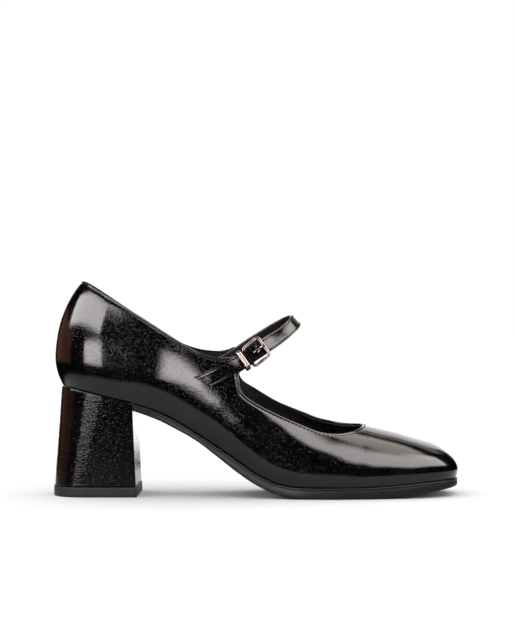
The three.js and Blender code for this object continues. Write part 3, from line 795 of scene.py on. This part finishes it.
def sideSpot(side, x, z):
    turn = xToTurn(x)
    reach = bisect(lambda value: wallPoint(side, turn, value).z < z, 0, 1)
    point = wallPoint(side, turn, reach)
    up = wallPoint(side, turn, reach + 0.01) - point
    along = wallPoint(side, xToTurn(x + 1), reach) - point
    normal = along.cross(up).normalized()
    return point, (-normal if normal.y * side < 0 else normal)


strapLift = wall / 2 + gap + strap["thick"] / 2
earPoint, earNormal = sideSpot(-1, buckle["earX"], buckle["earZ"])
runAxis = Vector((0.83, 0.2, 0.54)).normalized()
outAxis = Vector((0.1, -0.93, 0.34))
outAxis = (outAxis - runAxis * outAxis.dot(runAxis)).normalized()
acrossAxis = runAxis.cross(outAxis)
if acrossAxis.z < 0:
    acrossAxis = -acrossAxis
buckleCentre = earPoint - earNormal * (wall / 2) + runAxis * buckle["reach"] + outAxis * strapLift


def buckleSpot(run, across, out):
    return buckleCentre + runAxis * run + acrossAxis * across + outAxis * out


# Centripetal spline, the same curve as the frame's strap follows.
def splinePoint(points, share):
    end = len(points) - 1
    place = end * share
    k = min(int(place), end - 1)
    t = place - k
    p1, p2 = points[k], points[k + 1]
    p0 = points[k - 1] if k > 0 else points[0] * 2 - points[1]
    p3 = points[k + 2] if k + 2 <= end else points[end] * 2 - points[end - 1]
    d0, d1, d2 = ((b - a).length ** 0.5 for a, b in ((p0, p1), (p1, p2), (p2, p3)))
    d1 = d1 if d1 > 1e-4 else 1
    d0 = d0 if d0 > 1e-4 else d1
    d2 = d2 if d2 > 1e-4 else d1
    t1 = ((p1 - p0) / d0 - (p2 - p0) / (d0 + d1) + (p2 - p1) / d1) * d1
    t2 = ((p2 - p1) / d1 - (p3 - p1) / (d1 + d2) + (p3 - p2) / d2) * d1
    return p1 + t1 * t + (p2 * 3 - p1 * 3 - t1 * 2 - t2) * t**2 + (p1 * 2 - p2 * 2 + t1 + t2) * t**3


def strapSpots():
    spots = []
    for x, z in strap["insideSpots"]:
        point, normal = sideSpot(1, x, z)
        spots.append((point - normal * (wall + gap + 0.5 + strap["thick"] / 2), normal, strap["width"]))
    for row in strap["route"]:
        spots.append((Vector(row[:3]), Vector(row[3:6]).normalized(), row[6]))
    for run in (buckle["length"] / 2, 0, -buckle["length"] / 2, -9, -11):
        spots.append((buckleSpot(run, 0, 0), outAxis, strap["width"]))
    for x, z in strap["tailSpots"]:
        point, normal = sideSpot(-1, x, z)
        spots.append((point + normal * (gap + 0.15 + strap["thick"] / 2), normal, strap["width"]))
    return spots


# The strap's centre line as places with their tangent, facing, across and width, by length.
class StrapLine:
    def __init__(self, spots, samples):
        widthAt = curveThrough(list(range(len(spots))), [spot[2] for spot in spots])
        points = [splinePoint([s[0] for s in spots], i / samples) for i in range(samples + 1)]
        facings = [splinePoint([s[1] for s in spots], i / samples).normalized() for i in range(samples + 1)]
        self.places = []
        for i, point in enumerate(points):
            tangent = (points[min(i + 1, samples)] - points[max(i - 1, 0)]).normalized()
            normal = (facings[i] - tangent * facings[i].dot(tangent)).normalized()
            across = normal.cross(tangent)
            if across.z < 0:
                across = -across
            self.places.append((point, tangent, normal, across, widthAt((len(spots) - 1) * i / samples)))
        self.along = [0.0]
        for before, after in zip(points, points[1:]):
            self.along.append(self.along[-1] + (after - before).length)
        self.length = self.along[-1]

    def at(self, distance):
        k = min(max(bisect_right(self.along, distance) - 1, 0), len(self.along) - 2)
        share = (distance - self.along[k]) / (self.along[k + 1] - self.along[k])
        here, there = self.places[k], self.places[k + 1]
        held = min(max(share, 0), 1)
        point = here[0] + (there[0] - here[0]) * share
        tangent, normal, across = (here[n].lerp(there[n], held).normalized() for n in (1, 2, 3))
        return point, tangent, normal, across, here[4] + (there[4] - here[4]) * held

    # The distance of the place nearest to a point.
    def nearest(self, goal):
        best = min(range(len(self.places)), key=lambda k: (self.places[k][0] - goal).length)
        return self.along[best]


strapLine = StrapLine(strapSpots(), 600)


# Outline of a strap layer: (share of the half width, height over the centre line).
def bandProfile(half, low, high, grooved):
    rounded = min(strap["edgeRound"], (high - low) / 2)
    flat = half - rounded
    profile = []
    count = 26 if grooved else 8
    for i in range(count + 1):
        across = -flat + 2 * flat * i / count
        height = high
        if grooved:
            height += strap["crown"] * (1 - (across / half) ** 2)
            fromSeam = half - abs(across) - strap["stitchInset"]
            height -= strap["grooveDepth"] * hump(fromSeam, strap["grooveWidth"])
        profile.append((across, height))
    for i in range(1, 4):
        angle = math.pi / 2 * (1 - i / 3)
        profile.append((flat + rounded * math.cos(angle), high - rounded + rounded * math.sin(angle)))
    for i in range(1, 4):
        angle = -math.pi / 2 * i / 3
        profile.append((flat + rounded * math.cos(angle), low + rounded + rounded * math.sin(angle)))
    for i in range(1, 6):
        profile.append((flat * (1 - i / 3), low))
    for i in range(0, 3):
        angle = -math.pi / 2 - math.pi / 2 * i / 3
        profile.append((-flat + rounded * math.cos(angle), low + rounded + rounded * math.sin(angle)))
    for i in range(0, 3):
        angle = math.pi - math.pi / 2 * i / 3
        profile.append((-flat + rounded * math.cos(angle), high - rounded + rounded * math.sin(angle)))
    return profile


# How far the slanted tail end lies from the straight one, and how it eases in over its last part.
def slantShift(distance, acrossShare):
    lower, higher = strap["tailSlant"]
    shift = lower + (higher - lower) * (acrossShare + 1) / 2
    return shift * smooth((distance - strapLine.length + strap["slantEase"]) / strap["slantEase"])


def strapLayer(name, low, high, trim, grooved, finish):
    half = strap["width"] / 2
    profile = bandProfile(half, low, high, grooved)
    middle = (low + high) / 2
    rings = []
    ends = [(0, 0.55), (0.12, 0.85), (0.4, 1)]
    distances = [(d + trim, girth) for d, girth in ends]
    body = strap["rings"]
    start, finishAt = trim + 0.8, strapLine.length - trim - 0.8
    distances += [(start + (finishAt - start) * i / body, 1) for i in range(body + 1)]
    distances += [(strapLine.length - trim - d, girth) for d, girth in reversed(ends)]
    for distance, girth in distances:
        ring = []
        for across, height in profile:
            share = across / half
            point, tangent, normal, sideways, width = strapLine.at(distance + slantShift(distance, share))
            puff = 0.05 * noise.noise(Vector((distance, across * 1.5, 7)) / 5) if height > middle else 0
            out = middle + (height - middle) * girth + puff
            ring.append(point + sideways * (share * (width / 2 - trim * 0.6)) + normal * out)
        rings.append(ring)
    return skinObject(name, rings, finish, sharpAngle=55)


topOfStrap = strap["thick"] / 2
split = -topOfStrap + strap["liningThick"]
strapBand = strapLayer("strapBand", split, topOfStrap, 0, True, upperPatent)
strapLining = strapLayer("strapLining", -topOfStrap, split - 0.03, 0.5, False, liningLeather)


# Punched holes down the middle of the strap: the prong sits in the first one.
def punch(piece, centre, facing, along, radius, stretch=1.0):
    bpy.ops.mesh.primitive_cylinder_add(vertices=24, radius=radius * metre, depth=5 * metre)
    cutter = bpy.context.object
    sideways = facing.cross(along).normalized()
    turnTo = Matrix((along, sideways, facing)).transposed().to_4x4()
    cutter.matrix_world = Matrix.Translation(toRow(centre)) @ turnTo @ Matrix.Diagonal((stretch, 1, 1, 1))
    cut = piece.modifiers.new("hole", "BOOLEAN")
    cut.operation = "DIFFERENCE"
    cut.solver = "EXACT"
    cut.object = cutter
    bpy.context.view_layer.objects.active = piece
    bpy.ops.object.modifier_apply(modifier=cut.name)
    bpy.data.objects.remove(cutter)


prongDistance = strapLine.nearest(buckleSpot(0.4, 0, 0))
for piece in (strapBand, strapLining):
    point, tangent, normal, across, width = strapLine.at(prongDistance)
    punch(piece, point, normal, tangent, strap["slotRadius"], strap["slotStretch"])
for k in range(1, strap["holes"] + 1):
    distance = prongDistance + strap["firstHole"] + k * strap["holeSpacing"]
    if distance < strapLine.length - strap["lastHoleFromEnd"]:
        point, tangent, normal, across, width = strapLine.at(distance)
        punch(strapBand, point, normal, tangent, strap["holeRadius"])
for piece in (strapBand, strapLining):
    for polygon in piece.data.polygons:
        polygon.use_smooth = True
    piece.data.set_sharp_from_angle(angle=math.radians(50))
joinShoe(strapBand, "patent_leather", "strap")
joinShoe(strapLining, "lining_leather", "strap")

strapThread = {"spacing": 2.4, "length": 1.6, "radius": 0.25, "start": 16, "endInset": 1.5}


def strapStitches(settings):
    runs = []
    half = strap["width"] / 2
    out = topOfStrap - 0.02
    for side in (-1, 1):
        share = side * (half - strap["stitchInset"]) / half
        run = []
        endAt = strapLine.length - settings["endInset"]
        count = int((endAt - settings["start"]) / settings["spacing"])
        for k in range(count):
            distance = settings["start"] + (endAt - settings["start"]) * (k + 0.5) / count
            distance += slantShift(distance, share)
            point, tangent, normal, sideways, width = strapLine.at(distance)
            run.append((point + sideways * (share * width / 2) + normal * out, tangent, normal))
        runs.append(run)
    lower, higher = (
        strapLine.length - settings["endInset"] + slantShift(strapLine.length, share) for share in (-0.74, 0.74)
    )
    cross = []
    for k in range(4):
        share = (k + 0.5) / 4
        point, tangent, normal, sideways, width = strapLine.at(lower + (higher - lower) * share)
        spot = point + sideways * ((share * 2 - 1) * 0.74 * width / 2) + normal * out
        slope = (sideways * (width * 0.74) + tangent * (higher - lower)).normalized()
        cross.append((spot, slope, normal))
    runs.append(cross)
    return runs


strapStitch = stitchObject("strapStitch", strapStitches(strapThread), strapThread, thread)
joinShoe(strapStitch, "patent_leather")
print("strap made")


# Leather tab that folds round the buckle's hidden bar: its own layer above and below.
tab = {
    "thick": 0.86,
    "skived": 0.34,
    "path": [(-11.2, -1.78), (-9.6, -1.78), (-8, -1.78), (-6.9, -1.6), (-5.9, -1.2), (-5.2, -1.16), (-4.4, -1.45),
             (-4.1, -2.1), (-4.4, -2.78), (-5.2, -3.06), (-6, -2.96), (-6.9, -2.74), (-8, -2.7), (-9.6, -2.7),
             (-11.2, -2.7)],
    "slant": (-3.8, 2.2),
}


def tabObject():
    coarse = [Vector((run, out, 0)) for run, out in tab["path"]]
    path = [splinePoint(coarse, i / 70) for i in range(71)]
    half = strap["width"] / 2
    rings = []
    for i, spot in enumerate(path):
        ahead = (path[min(i + 1, 70)] - path[max(i - 1, 0)]).normalized()
        up = Vector((-ahead.y, ahead.x, 0))
        thin = smooth((-5.6 - spot.x) / 2.2)
        thick = tab["skived"] + (tab["thick"] - tab["skived"]) * thin
        ring = []
        for across, height in bandProfile(half - 0.3, -thick / 2, thick / 2, False):
            lower, higher = tab["slant"]
            shift = (lower + (higher - lower) * (across / half + 1) / 2) * smooth((-8 - spot.x) / 3)
            place = spot + up * height
            ring.append(buckleSpot(place.x + shift, across, place.y))
        rings.append(ring)
    return skinObject("buckleTab", rings, upperPatent, sharpAngle=55)


joinShoe(tabObject(), "patent_leather", "buckle_tab")


# Polished wire with rounded shoulders and a shallow channel along its outer face.
def wireSection(wide, high, channel, faceOut=True):
    section = []
    count = 40
    for k in range(count):
        angle = math.tau * k / count
        c, s = math.cos(angle), math.sin(angle)
        w = wide / 2 * math.copysign(abs(c) ** 0.85, c)
        h = high / 2 * math.copysign(abs(s) ** 0.85, s)
        depth = 0
        if faceOut and h > 0:
            depth = hump(w, wide * 0.2)
            h -= channel * depth
        if not faceOut and w > 0:
            depth = hump(h - high * 0.12, high * 0.1)
            w -= channel * depth
        section.append((w, h, depth))
    return section


def wireLoop(name, centre, first, second, third, firstSize, secondSize, radius, section, bend, finish):
    path = []
    arcSteps, barSteps = 10, 12
    corners = [(1, 1, 0), (-1, 1, 1), (-1, -1, 2), (1, -1, 3)]
    for n, (sx, sy, quarter) in enumerate(corners):
        for i in range(arcSteps + 1):
            angle = math.pi / 2 * (quarter + i / arcSteps)
            u = sx * (firstSize / 2 - radius) + radius * math.cos(angle)
            v = sy * (secondSize / 2 - radius) + radius * math.sin(angle)
            path.append((u, v, math.cos(angle), math.sin(angle)))
        nx, ny, nextQuarter = corners[(n + 1) % 4]
        angle = math.pi / 2 * nextQuarter
        u1 = nx * (firstSize / 2 - radius) + radius * math.cos(angle)
        v1 = ny * (secondSize / 2 - radius) + radius * math.sin(angle)
        u0, v0 = path[-1][:2]
        for i in range(1, barSteps):
            share = i / barSteps
            path.append((u0 + (u1 - u0) * share, v0 + (v1 - v0) * share, math.cos(angle), math.sin(angle)))
    rings, depths = [], []
    for u, v, nu, nv in path:
        ring = []
        for w, h, depth in section:
            ring.append(centre + first * (u + nu * w) + second * (v + nv * w) + third * (h + bend(u)))
        # The channel depth is kept for the painted shade that the nickel finish puts in the groove.
        depths += [(spot, depth) for spot, (w, h, depth) in zip(ring, section)]
        rings.append(ring)
    return markGrooveShade(skinObject(name, rings, finish, loop=True, sharpAngle=60), depths)


barRise = topOfStrap + gap + buckle["railThick"] / 2


def frameBend(u):
    return (barRise + 0.1) * math.sin(min(max(u / (buckle["length"] / 2), -1), 1) * math.pi / 2)


buckleFrame = wireLoop(
    "buckleFrame", buckleCentre, runAxis, acrossAxis, outAxis, buckle["length"],
    buckle["inside"] + buckle["railWidth"], buckle["cornerRadius"],
    wireSection(buckle["railWidth"], buckle["railThick"], 0.36), frameBend, nickel,
)
joinShoe(buckleFrame, "nickel", "buckle_frame")

keeperCentre = buckleSpot(-buckle["length"] / 2 - 3.7, 0, -(gap + wall) / 2)
keeperLoop = wireLoop(
    "keeperLoop", keeperCentre, acrossAxis, outAxis, runAxis,
    strap["width"] + 2 * gap + buckle["keeperWire"] + 1,
    2 * gap + strap["thick"] + wall + buckle["keeperWire"] + gap, 1.4,
    wireSection(buckle["keeperWire"], buckle["keeperBand"], 0.2, False), lambda u: 0, nickel,
)
joinShoe(keeperLoop, "nickel", "keeper")


def prongObject():
    wire = buckle["prongWire"]
    top = barRise + buckle["railThick"] / 2 + gap * 0.4 + wire / 2
    half = buckle["length"] / 2
    start = -half + buckle["railWidth"] / 2 + gap + wire / 2
    coarse = [Vector(p) for p in (
        (start - 0.1, -barRise - 0.25, 0), (start + 0.5, -barRise, 0), (start + 1.8, -barRise + 0.15, 0),
        (-0.3, -1.1, 0), (1.3, 1.2, 0), (half - 1.8, top - 0.25, 0), (half - 0.2, top, 0),
        (half + 1.15, top - 0.15, 0),
    )]
    count = 60
    path = [splinePoint(coarse, i / count) for i in range(count + 1)]
    rings = []
    for i, spot in enumerate(path):
        ahead = (path[min(i + 1, count)] - path[max(i - 1, 0)]).normalized()
        up = Vector((-ahead.y, ahead.x, 0))
        share = i / count
        girth = min(1, 0.45 + 6 * share) * (1 - 0.3 * smooth((share - 0.45) / 0.55))
        endRound = math.sqrt(max(1 - max((share - 0.955) / 0.045, 0) ** 2, 0.02))
        radius = wire / 2 * girth * endRound
        ring = []
        for k in range(14):
            angle = math.tau * k / 14
            place = spot + up * (radius * math.sin(angle) * 0.85)
            ring.append(buckleSpot(place.x, radius * 1.12 * math.cos(angle), place.y))
        rings.append(ring)
    return skinObject("buckleProng", rings, nickel, sharpAngle=70)


joinShoe(prongObject(), "nickel", "buckle_prong")
print("buckle made")


# Outsole: a plate with a two-layer edge, rounded at the floor, and a plain ribbed tread.
outsole = {
    "start": 47.3,
    "proud": 1.1,
    "stationX": [40, 140, 150, 216, 224, 238],
    "stationStep": [2.2, 2.2, 0.85, 0.85, 1.6, 1.4],
    "treadFrom": 152,
    "treadTo": 214,
    "ribPitch": 5.2,
    "ribDepth": 0.45,
    "bottomPoints": 18,
    # Inset and height above the floor side, then inset and depth below the feather edge.
    "lowEdge": [(0.9, 0.02), (0.5, 0.1), (0.2, 0.3), (0.04, 0.62), (0, 1.0)],
    "highEdge": [(0, 1.62), (0.06, 1.5), (0.3, 1.42), (0.34, 1.3), (0.3, 1.18), (0.05, 1.1), (0, 0.98),
                 (0, 0.5), (0.08, 0.2), (0.3, 0.02), (0.8, 0)],
}


def plateRings(turnList, insetAt, lowAt, highAt, settings, topAt=None, topPoints=1):
    rings = []
    for turn in turnList:
        x = turnToX(turn)
        edges = {}
        for side in (-1, 1):
            point = edgePoint(side, turn, insetAt(x))
            edges[side] = (point, inward(side, turn))
        if turn == turnList[0] and x > 1:
            edges[1] = (Vector((edges[-1][0].x, edges[1][0].y)), edges[1][1])
        halfWidth = (edges[1][0] - edges[-1][0]).length / 2
        shrink = min(1, halfWidth / 2.5)
        ring = []
        # Underside from lateral to medial, up the medial edge, back over the top, down the lateral one.
        count = settings["bottomPoints"]
        firstInset = settings["lowEdge"][0][0] * shrink + 0.6 * shrink
        lows = [edges[side][0] + edges[side][1] * firstInset for side in (-1, 1)]
        for i in range(count + 1):
            spot = lows[0].lerp(lows[1], i / count)
            ring.append(Vector((spot.x, spot.y, lowAt(spot.x, abs(2 * i / count - 1)))))
        for side, order in ((1, 1), (-1, -1)):
            wallSpots = []
            for inset, rise in settings["lowEdge"]:
                spot = edges[side][0] + edges[side][1] * (inset * shrink)
                wallSpots.append(Vector((spot.x, spot.y, lowAt(edges[side][0].x, 1) + rise)))
            for inset, drop in settings["highEdge"]:
                spot = edges[side][0] + edges[side][1] * (inset * shrink)
                wallSpots.append(Vector((spot.x, spot.y, highAt(edges[side][0].x) - drop)))
            if side == 1:
                ring += wallSpots
                topInset = (settings["highEdge"][-1][0] + 0.5) * shrink
                tops = [edges[s][0] + edges[s][1] * topInset for s in (1, -1)]
                for i in range(topPoints + 1):
                    spot = tops[0].lerp(tops[1], i / topPoints)
                    share = abs(2 * i / topPoints - 1)
                    height = highAt(spot.x) + (topAt(spot.x, spot.y, share) if topAt else 0)
                    ring.append(Vector((spot.x, spot.y, height)))
            else:
                ring += wallSpots[::-1]
        rings.append(ring)
    return rings


def treadLift(x, share):
    inTread = smooth((x - outsole["treadFrom"]) / 4) * smooth((outsole["treadTo"] - x) / 4)
    inTread *= smooth((0.84 - share) / 0.1)
    wave = math.sin(math.tau * x / outsole["ribPitch"])
    return outsole["ribDepth"] * inTread * smooth((wave + 0.1) / 0.5)


def outsoleObject():
    turnList = [turn for turn in stationTurns(outsole["stationX"], outsole["stationStep"])
                if turnToX(turn) > outsole["start"] + 0.5]
    turnList = [xToTurn(outsole["start"])] + turnList
    rings = plateRings(
        turnList, lambda x: tuckAt(x) - outsole["proud"],
        lambda x, share: soleLowAt(x) + treadLift(x, share), lambda x: soleTopAt(x) - gap / 2, outsole, None, 4,
    )
    return skinObject("outsoleRubber", rings, soleRubber, sharpAngle=45)


joinShoe(outsoleObject(), "sole_rubber", "outsole")

insole = {
    "thick": 2.6,
    "padRise": 0.9,
    "dish": 1.1,
    "pressedLine": 0.3,
    "bottomPoints": 4,
    "lowEdge": [(0.3, 0), (0.05, 0.2), (0, 0.5)],
    "highEdge": [(0, 0.6), (0.1, 0.3), (0.35, 0.08), (0.7, 0)],
    "stationX": [0, 10, 70, 238],
    "stationStep": [1.2, 1.2, 1.6, 2.4],
}


# The sock is dished across the foot, with a soft pad under the heel and a pressed line round it.
def sockHeight(x, y, share):
    dish = -insole["dish"] * (1 - share**2) * smooth((x - 4) / 20)
    fromPad = math.hypot((x - 36) / 27, (y - 0.5) / 15)
    pad = insole["padRise"] * smooth((1.06 - fromPad) / 0.16)
    pressed = -insole["pressedLine"] * hump(fromPad - 1.1, 0.045)
    edge = -insole["pressedLine"] * hump(share - 0.86, 0.035) * smooth((x - 12) / 6) * smooth((226 - x) / 8)
    return dish + pad + pressed + edge


def insoleObject():
    turnList = stationTurns(insole["stationX"], insole["stationStep"])
    rings = plateRings(
        turnList, lambda x: tuckAt(x) + wall + gap, lambda x, share: soleTopAt(x) + gap / 2,
        lambda x: soleTopAt(x) + gap / 2 + insole["thick"], insole, sockHeight, 44,
    )
    return skinObject("insoleSock", rings, sockLeather, sharpAngle=60)


joinShoe(insoleObject(), "lining_leather", "insole")
print("sole and sock made")


# Heel block in its leather cover, and the top lift under it.
heel = {
    "foot": {"back": 0.2, "half": 24, "middle": 0, "round": 19, "squareness": 2.3, "breast": 49.2},
    "seat": {"back": 4, "half": 24.2, "middle": -0.2, "round": 27, "squareness": 2.05, "breast": 47},
    "lift": 5.7,
    "cornerRound": 1.1,
    "levels": 60,
    "wrinkleSize": 5,
    "wrinkleHeight": 0.04,
    "liftProud": 0.5,
}


# Half of the heel's outline from the middle of the breast round to the middle of the back,
# as points with the direction that the outline faces there.
def heelHalf(level, proud, side):
    mix = {key: heel["foot"][key] + (heel["seat"][key] - heel["foot"][key]) * level for key in heel["foot"]}
    breast, half = mix["breast"] + proud, mix["half"] + proud
    roundTo = mix["back"] + mix["round"]
    corner = heel["cornerRound"]
    line = [((breast, (half - corner) * i / 12), (1, 0)) for i in range(12)]
    for i in range(5):
        angle = math.pi / 2 * i / 4
        spot = (breast - corner + corner * math.cos(angle), half - corner + corner * math.sin(angle))
        line.append((spot, (math.cos(angle), math.sin(angle))))
    flatEnd = breast - corner
    line += [((flatEnd + (roundTo - flatEnd) * i / 22, half), (0, 1)) for i in range(1, 22)]
    power = 2 / mix["squareness"]
    for i in range(41):
        angle = math.pi / 2 * (1 - i / 40)
        c, s = math.cos(angle), math.sin(angle)
        x = roundTo - (mix["round"] + proud) * max(c, 0) ** power
        y = half * max(s, 0) ** power
        line.append(((x, y), (-c, s)))
    return [((x, mix["middle"] + side * y), (nx, side * ny)) for (x, y), (nx, ny) in line]


def heelRing(level, proud):
    lateral, medial = heelHalf(level, proud, -1), heelHalf(level, proud, 1)
    return lateral + medial[-2:0:-1]


def heelObject():
    rows = [(0, 0.9, 0), (0, 0.35, 0.08), (0, 0.1, 0.3), (0, 0, 0.7)]
    foot = heel["lift"] + gap
    rings = []
    plan = [(0, -inset, rise) for level, inset, rise in rows]
    plan += [(i / heel["levels"], 0, None) for i in range(1, heel["levels"])]
    plan += [(1, -inset, -rise) for level, inset, rise in reversed(rows)]
    for level, proud, rise in plan:
        ring = []
        for (x, y), (nx, ny) in heelRing(level, proud):
            seat = soleTopAt(x) - gap / 2
            z = foot + (seat - foot) * level + (rise or 0)
            wrinkle = noise.noise(Vector((x * 0.7, y * 0.7, z * 1.5)) / heel["wrinkleSize"])
            lift = wrinkle * heel["wrinkleHeight"] if rise is None else 0
            ring.append(Vector((x + nx * lift, y + ny * lift, z)))
        rings.append(ring)
    size = len(rings[0])
    points = [p for ring in rings for p in ring]
    faces = skinFaces(len(rings), size)[:-2]
    half = size // 2
    for first in (0, (len(rings) - 1) * size):
        for j in range(half):
            here, there = j, j + 1
            mateHere, mateThere = (size - here) % size, (size - there) % size
            corners = [here, there, mateThere, mateHere]
            faces.append([first + k for k in dict.fromkeys(corners)])
    return makeObject("heelCover", points, faces, heelCover, 50)


joinShoe(heelObject(), "heel_cover", "heel_block")


def liftObject():
    proud = heel["liftProud"]
    rows = [(-0.9, 0), (-0.35, 0.06), (-0.1, 0.25), (0, 0.6), (0, 4.2), (-0.12, 4.28), (-0.12, 4.42), (0, 4.5),
            (0, 5.3), (-0.08, 5.55), (-0.3, 5.7), (-1, 5.7)]
    rings = [[Vector((x, y, z)) for (x, y), facing in heelRing(0, proud + inset)] for inset, z in rows]
    return skinObject("topLift", rings, liftRubber, sharpAngle=50)


joinShoe(liftObject(), "lift_rubber", "top_lift")
print("heel made")


camera = {"place": (0.0105, -1.1, 0.1025), "lens": 104.85, "shift": -0.025}
cameraData = bpy.data.cameras.new("camera")
cameraData.lens = camera["lens"]
cameraData.sensor_width = 36
cameraData.shift_x = camera["shift"]
cameraData.clip_start, cameraData.clip_end = 0.01, 50
cameraObject = bpy.data.objects.new("camera", cameraData)
cameraObject.location = camera["place"]
cameraObject.rotation_euler = (math.radians(90), 0, 0)
bpy.context.scene.collection.objects.link(cameraObject)
bpy.context.scene.camera = cameraObject
bpy.context.scene.view_settings.view_transform = "Standard"

studio = {
    "floor": 0.9,
    "nearFloor": 0.62,
    "backdrop": 1.0,
    "ambient": 1.25,
    "aim": (0, 0, 0.06),
    "layers": 6,
    "layerGap": 0.01,
    # Azimuth from the camera towards the toe, elevation, distance, width, height, soft edge,
    # watts per square metre, tint.
    "boxes": {
        "keyHigh": (-54.5, 34, 1.15, 1.8, 0.49, 0.22, 32, (1, 0.95, 0.94)),
        "keyLow": (-29.5, 7.5, 1.15, 0.7, 0.24, 0.14, 33, (1, 0.95, 0.94)),
        "toeHigh": (63, 44, 1.1, 1.6, 0.76, 0.44, 24, (1, 0.94, 0.92)),
        "ridgeHigh": (128, 63, 1.1, 0.84, 0.4, 0.2, 12, (1, 0.9, 0.8)),
        "warmSide": (-105, 8, 1.1, 1.1, 0.42, 0.16, 1.5, (1, 0.4, 0.25)),
        "backdrop": (182, 14, 0.9, 0.96, 0.66, 0.1, 5.4, (1, 1, 1)),
        "backdropHigh": (174, 38, 0.9, 0.96, 0.2, 0.16, 2.4, (1, 0.86, 0.78)),
    },
}


def stageMaterial(name, brightness):
    finish = Finish(name)
    finish.plug(finish.shader.inputs["Base Color"], (brightness, brightness, brightness, 1))
    finish.plug(finish.shader.inputs["Roughness"], 0.9)
    finish.plug(finish.shader.inputs["Specular IOR Level"], 0.0)
    return finish


def stagePlane(name, half, height, finish):
    mesh = bpy.data.meshes.new(name)
    corners = [(-half, -half, height), (half, -half, height), (half, half, height), (-half, half, height)]
    mesh.from_pydata(corners, [], [(0, 1, 2, 3)])
    mesh.materials.append(finish.material)
    plane = bpy.data.objects.new(name, mesh)
    bpy.context.scene.collection.objects.link(plane)
    return plane


floor = stagePlane("floor", 12, 0, stageMaterial("floorPaper", studio["floor"]))
floor.visible_glossy = False

# What the gloss sees of the floor: a pale table top that fades out a hand's width from the shoe.
tableTop = stageMaterial("tableTop", studio["nearFloor"])
apart = tableTop.node("ShaderNodeVectorMath", {"operation": "MULTIPLY"},
                      {0: tableTop.place, 1: (1 / 330, 1 / 250, 0)})
reach = tableTop.node("ShaderNodeVectorMath", {"operation": "LENGTH"}, {0: apart}, "Value")
tableTop.plug(tableTop.shader.inputs["Alpha"], tableTop.range(reach, 0.7, 1.0, 1, 0))
table = stagePlane("tableTop", 0.4, 0.00005, tableTop)
for kind in ("camera", "diffuse", "shadow", "transmission", "volume_scatter"):
    setattr(table, "visible_" + kind, False)


# Stacked layers of growing size give each box a soft edge.
def softbox(name, azimuth, elevation, distance, width, height, feather, strength, tint):
    a, e = math.radians(azimuth), math.radians(elevation)
    away = Vector((math.sin(a) * math.cos(e), -math.cos(a) * math.cos(e), math.sin(e)))
    layers = studio["layers"]
    for layer in range(layers):
        spread = feather * ((layer + 0.5) / layers - 0.5)
        light = bpy.data.lights.new(name, "AREA")
        light.shape = "RECTANGLE"
        light.size, light.size_y = width + spread, height + spread
        light.energy = strength / layers * light.size * light.size_y
        light.color = tint
        box = bpy.data.objects.new(name, light)
        box.location = Vector(studio["aim"]) + away * (distance + layer * studio["layerGap"])
        box.rotation_euler = away.to_track_quat("Z", "Y").to_euler()
        box.visible_camera = box.visible_diffuse = False
        bpy.context.scene.collection.objects.link(box)


for boxName, boxSizes in studio["boxes"].items():
    softbox(boxName, *boxSizes)

world = bpy.data.worlds.new("studio")
world.use_nodes = True
bpy.context.scene.world = world
tree = world.node_tree
shownSky, litSky = tree.nodes["Background"], tree.nodes.new("ShaderNodeBackground")
shownSky.inputs["Color"].default_value = (1, 1, 1, 1)
shownSky.inputs["Strength"].default_value = studio["backdrop"]
litSky.inputs["Color"].default_value = (1, 1, 1, 1)
rays, mixSky = tree.nodes.new("ShaderNodeLightPath"), tree.nodes.new("ShaderNodeMixShader")
either = tree.nodes.new("ShaderNodeMath")
either.operation = "MULTIPLY"
either.inputs[1].default_value = studio["ambient"]
tree.links.new(rays.outputs["Is Diffuse Ray"], either.inputs[0])
tree.links.new(either.outputs[0], litSky.inputs["Strength"])
tree.links.new(rays.outputs["Is Camera Ray"], mixSky.inputs["Fac"])
tree.links.new(litSky.outputs[0], mixSky.inputs[1])
tree.links.new(shownSky.outputs[0], mixSky.inputs[2])
tree.links.new(mixSky.outputs[0], tree.nodes["World Output"].inputs["Surface"])
print("studio set")
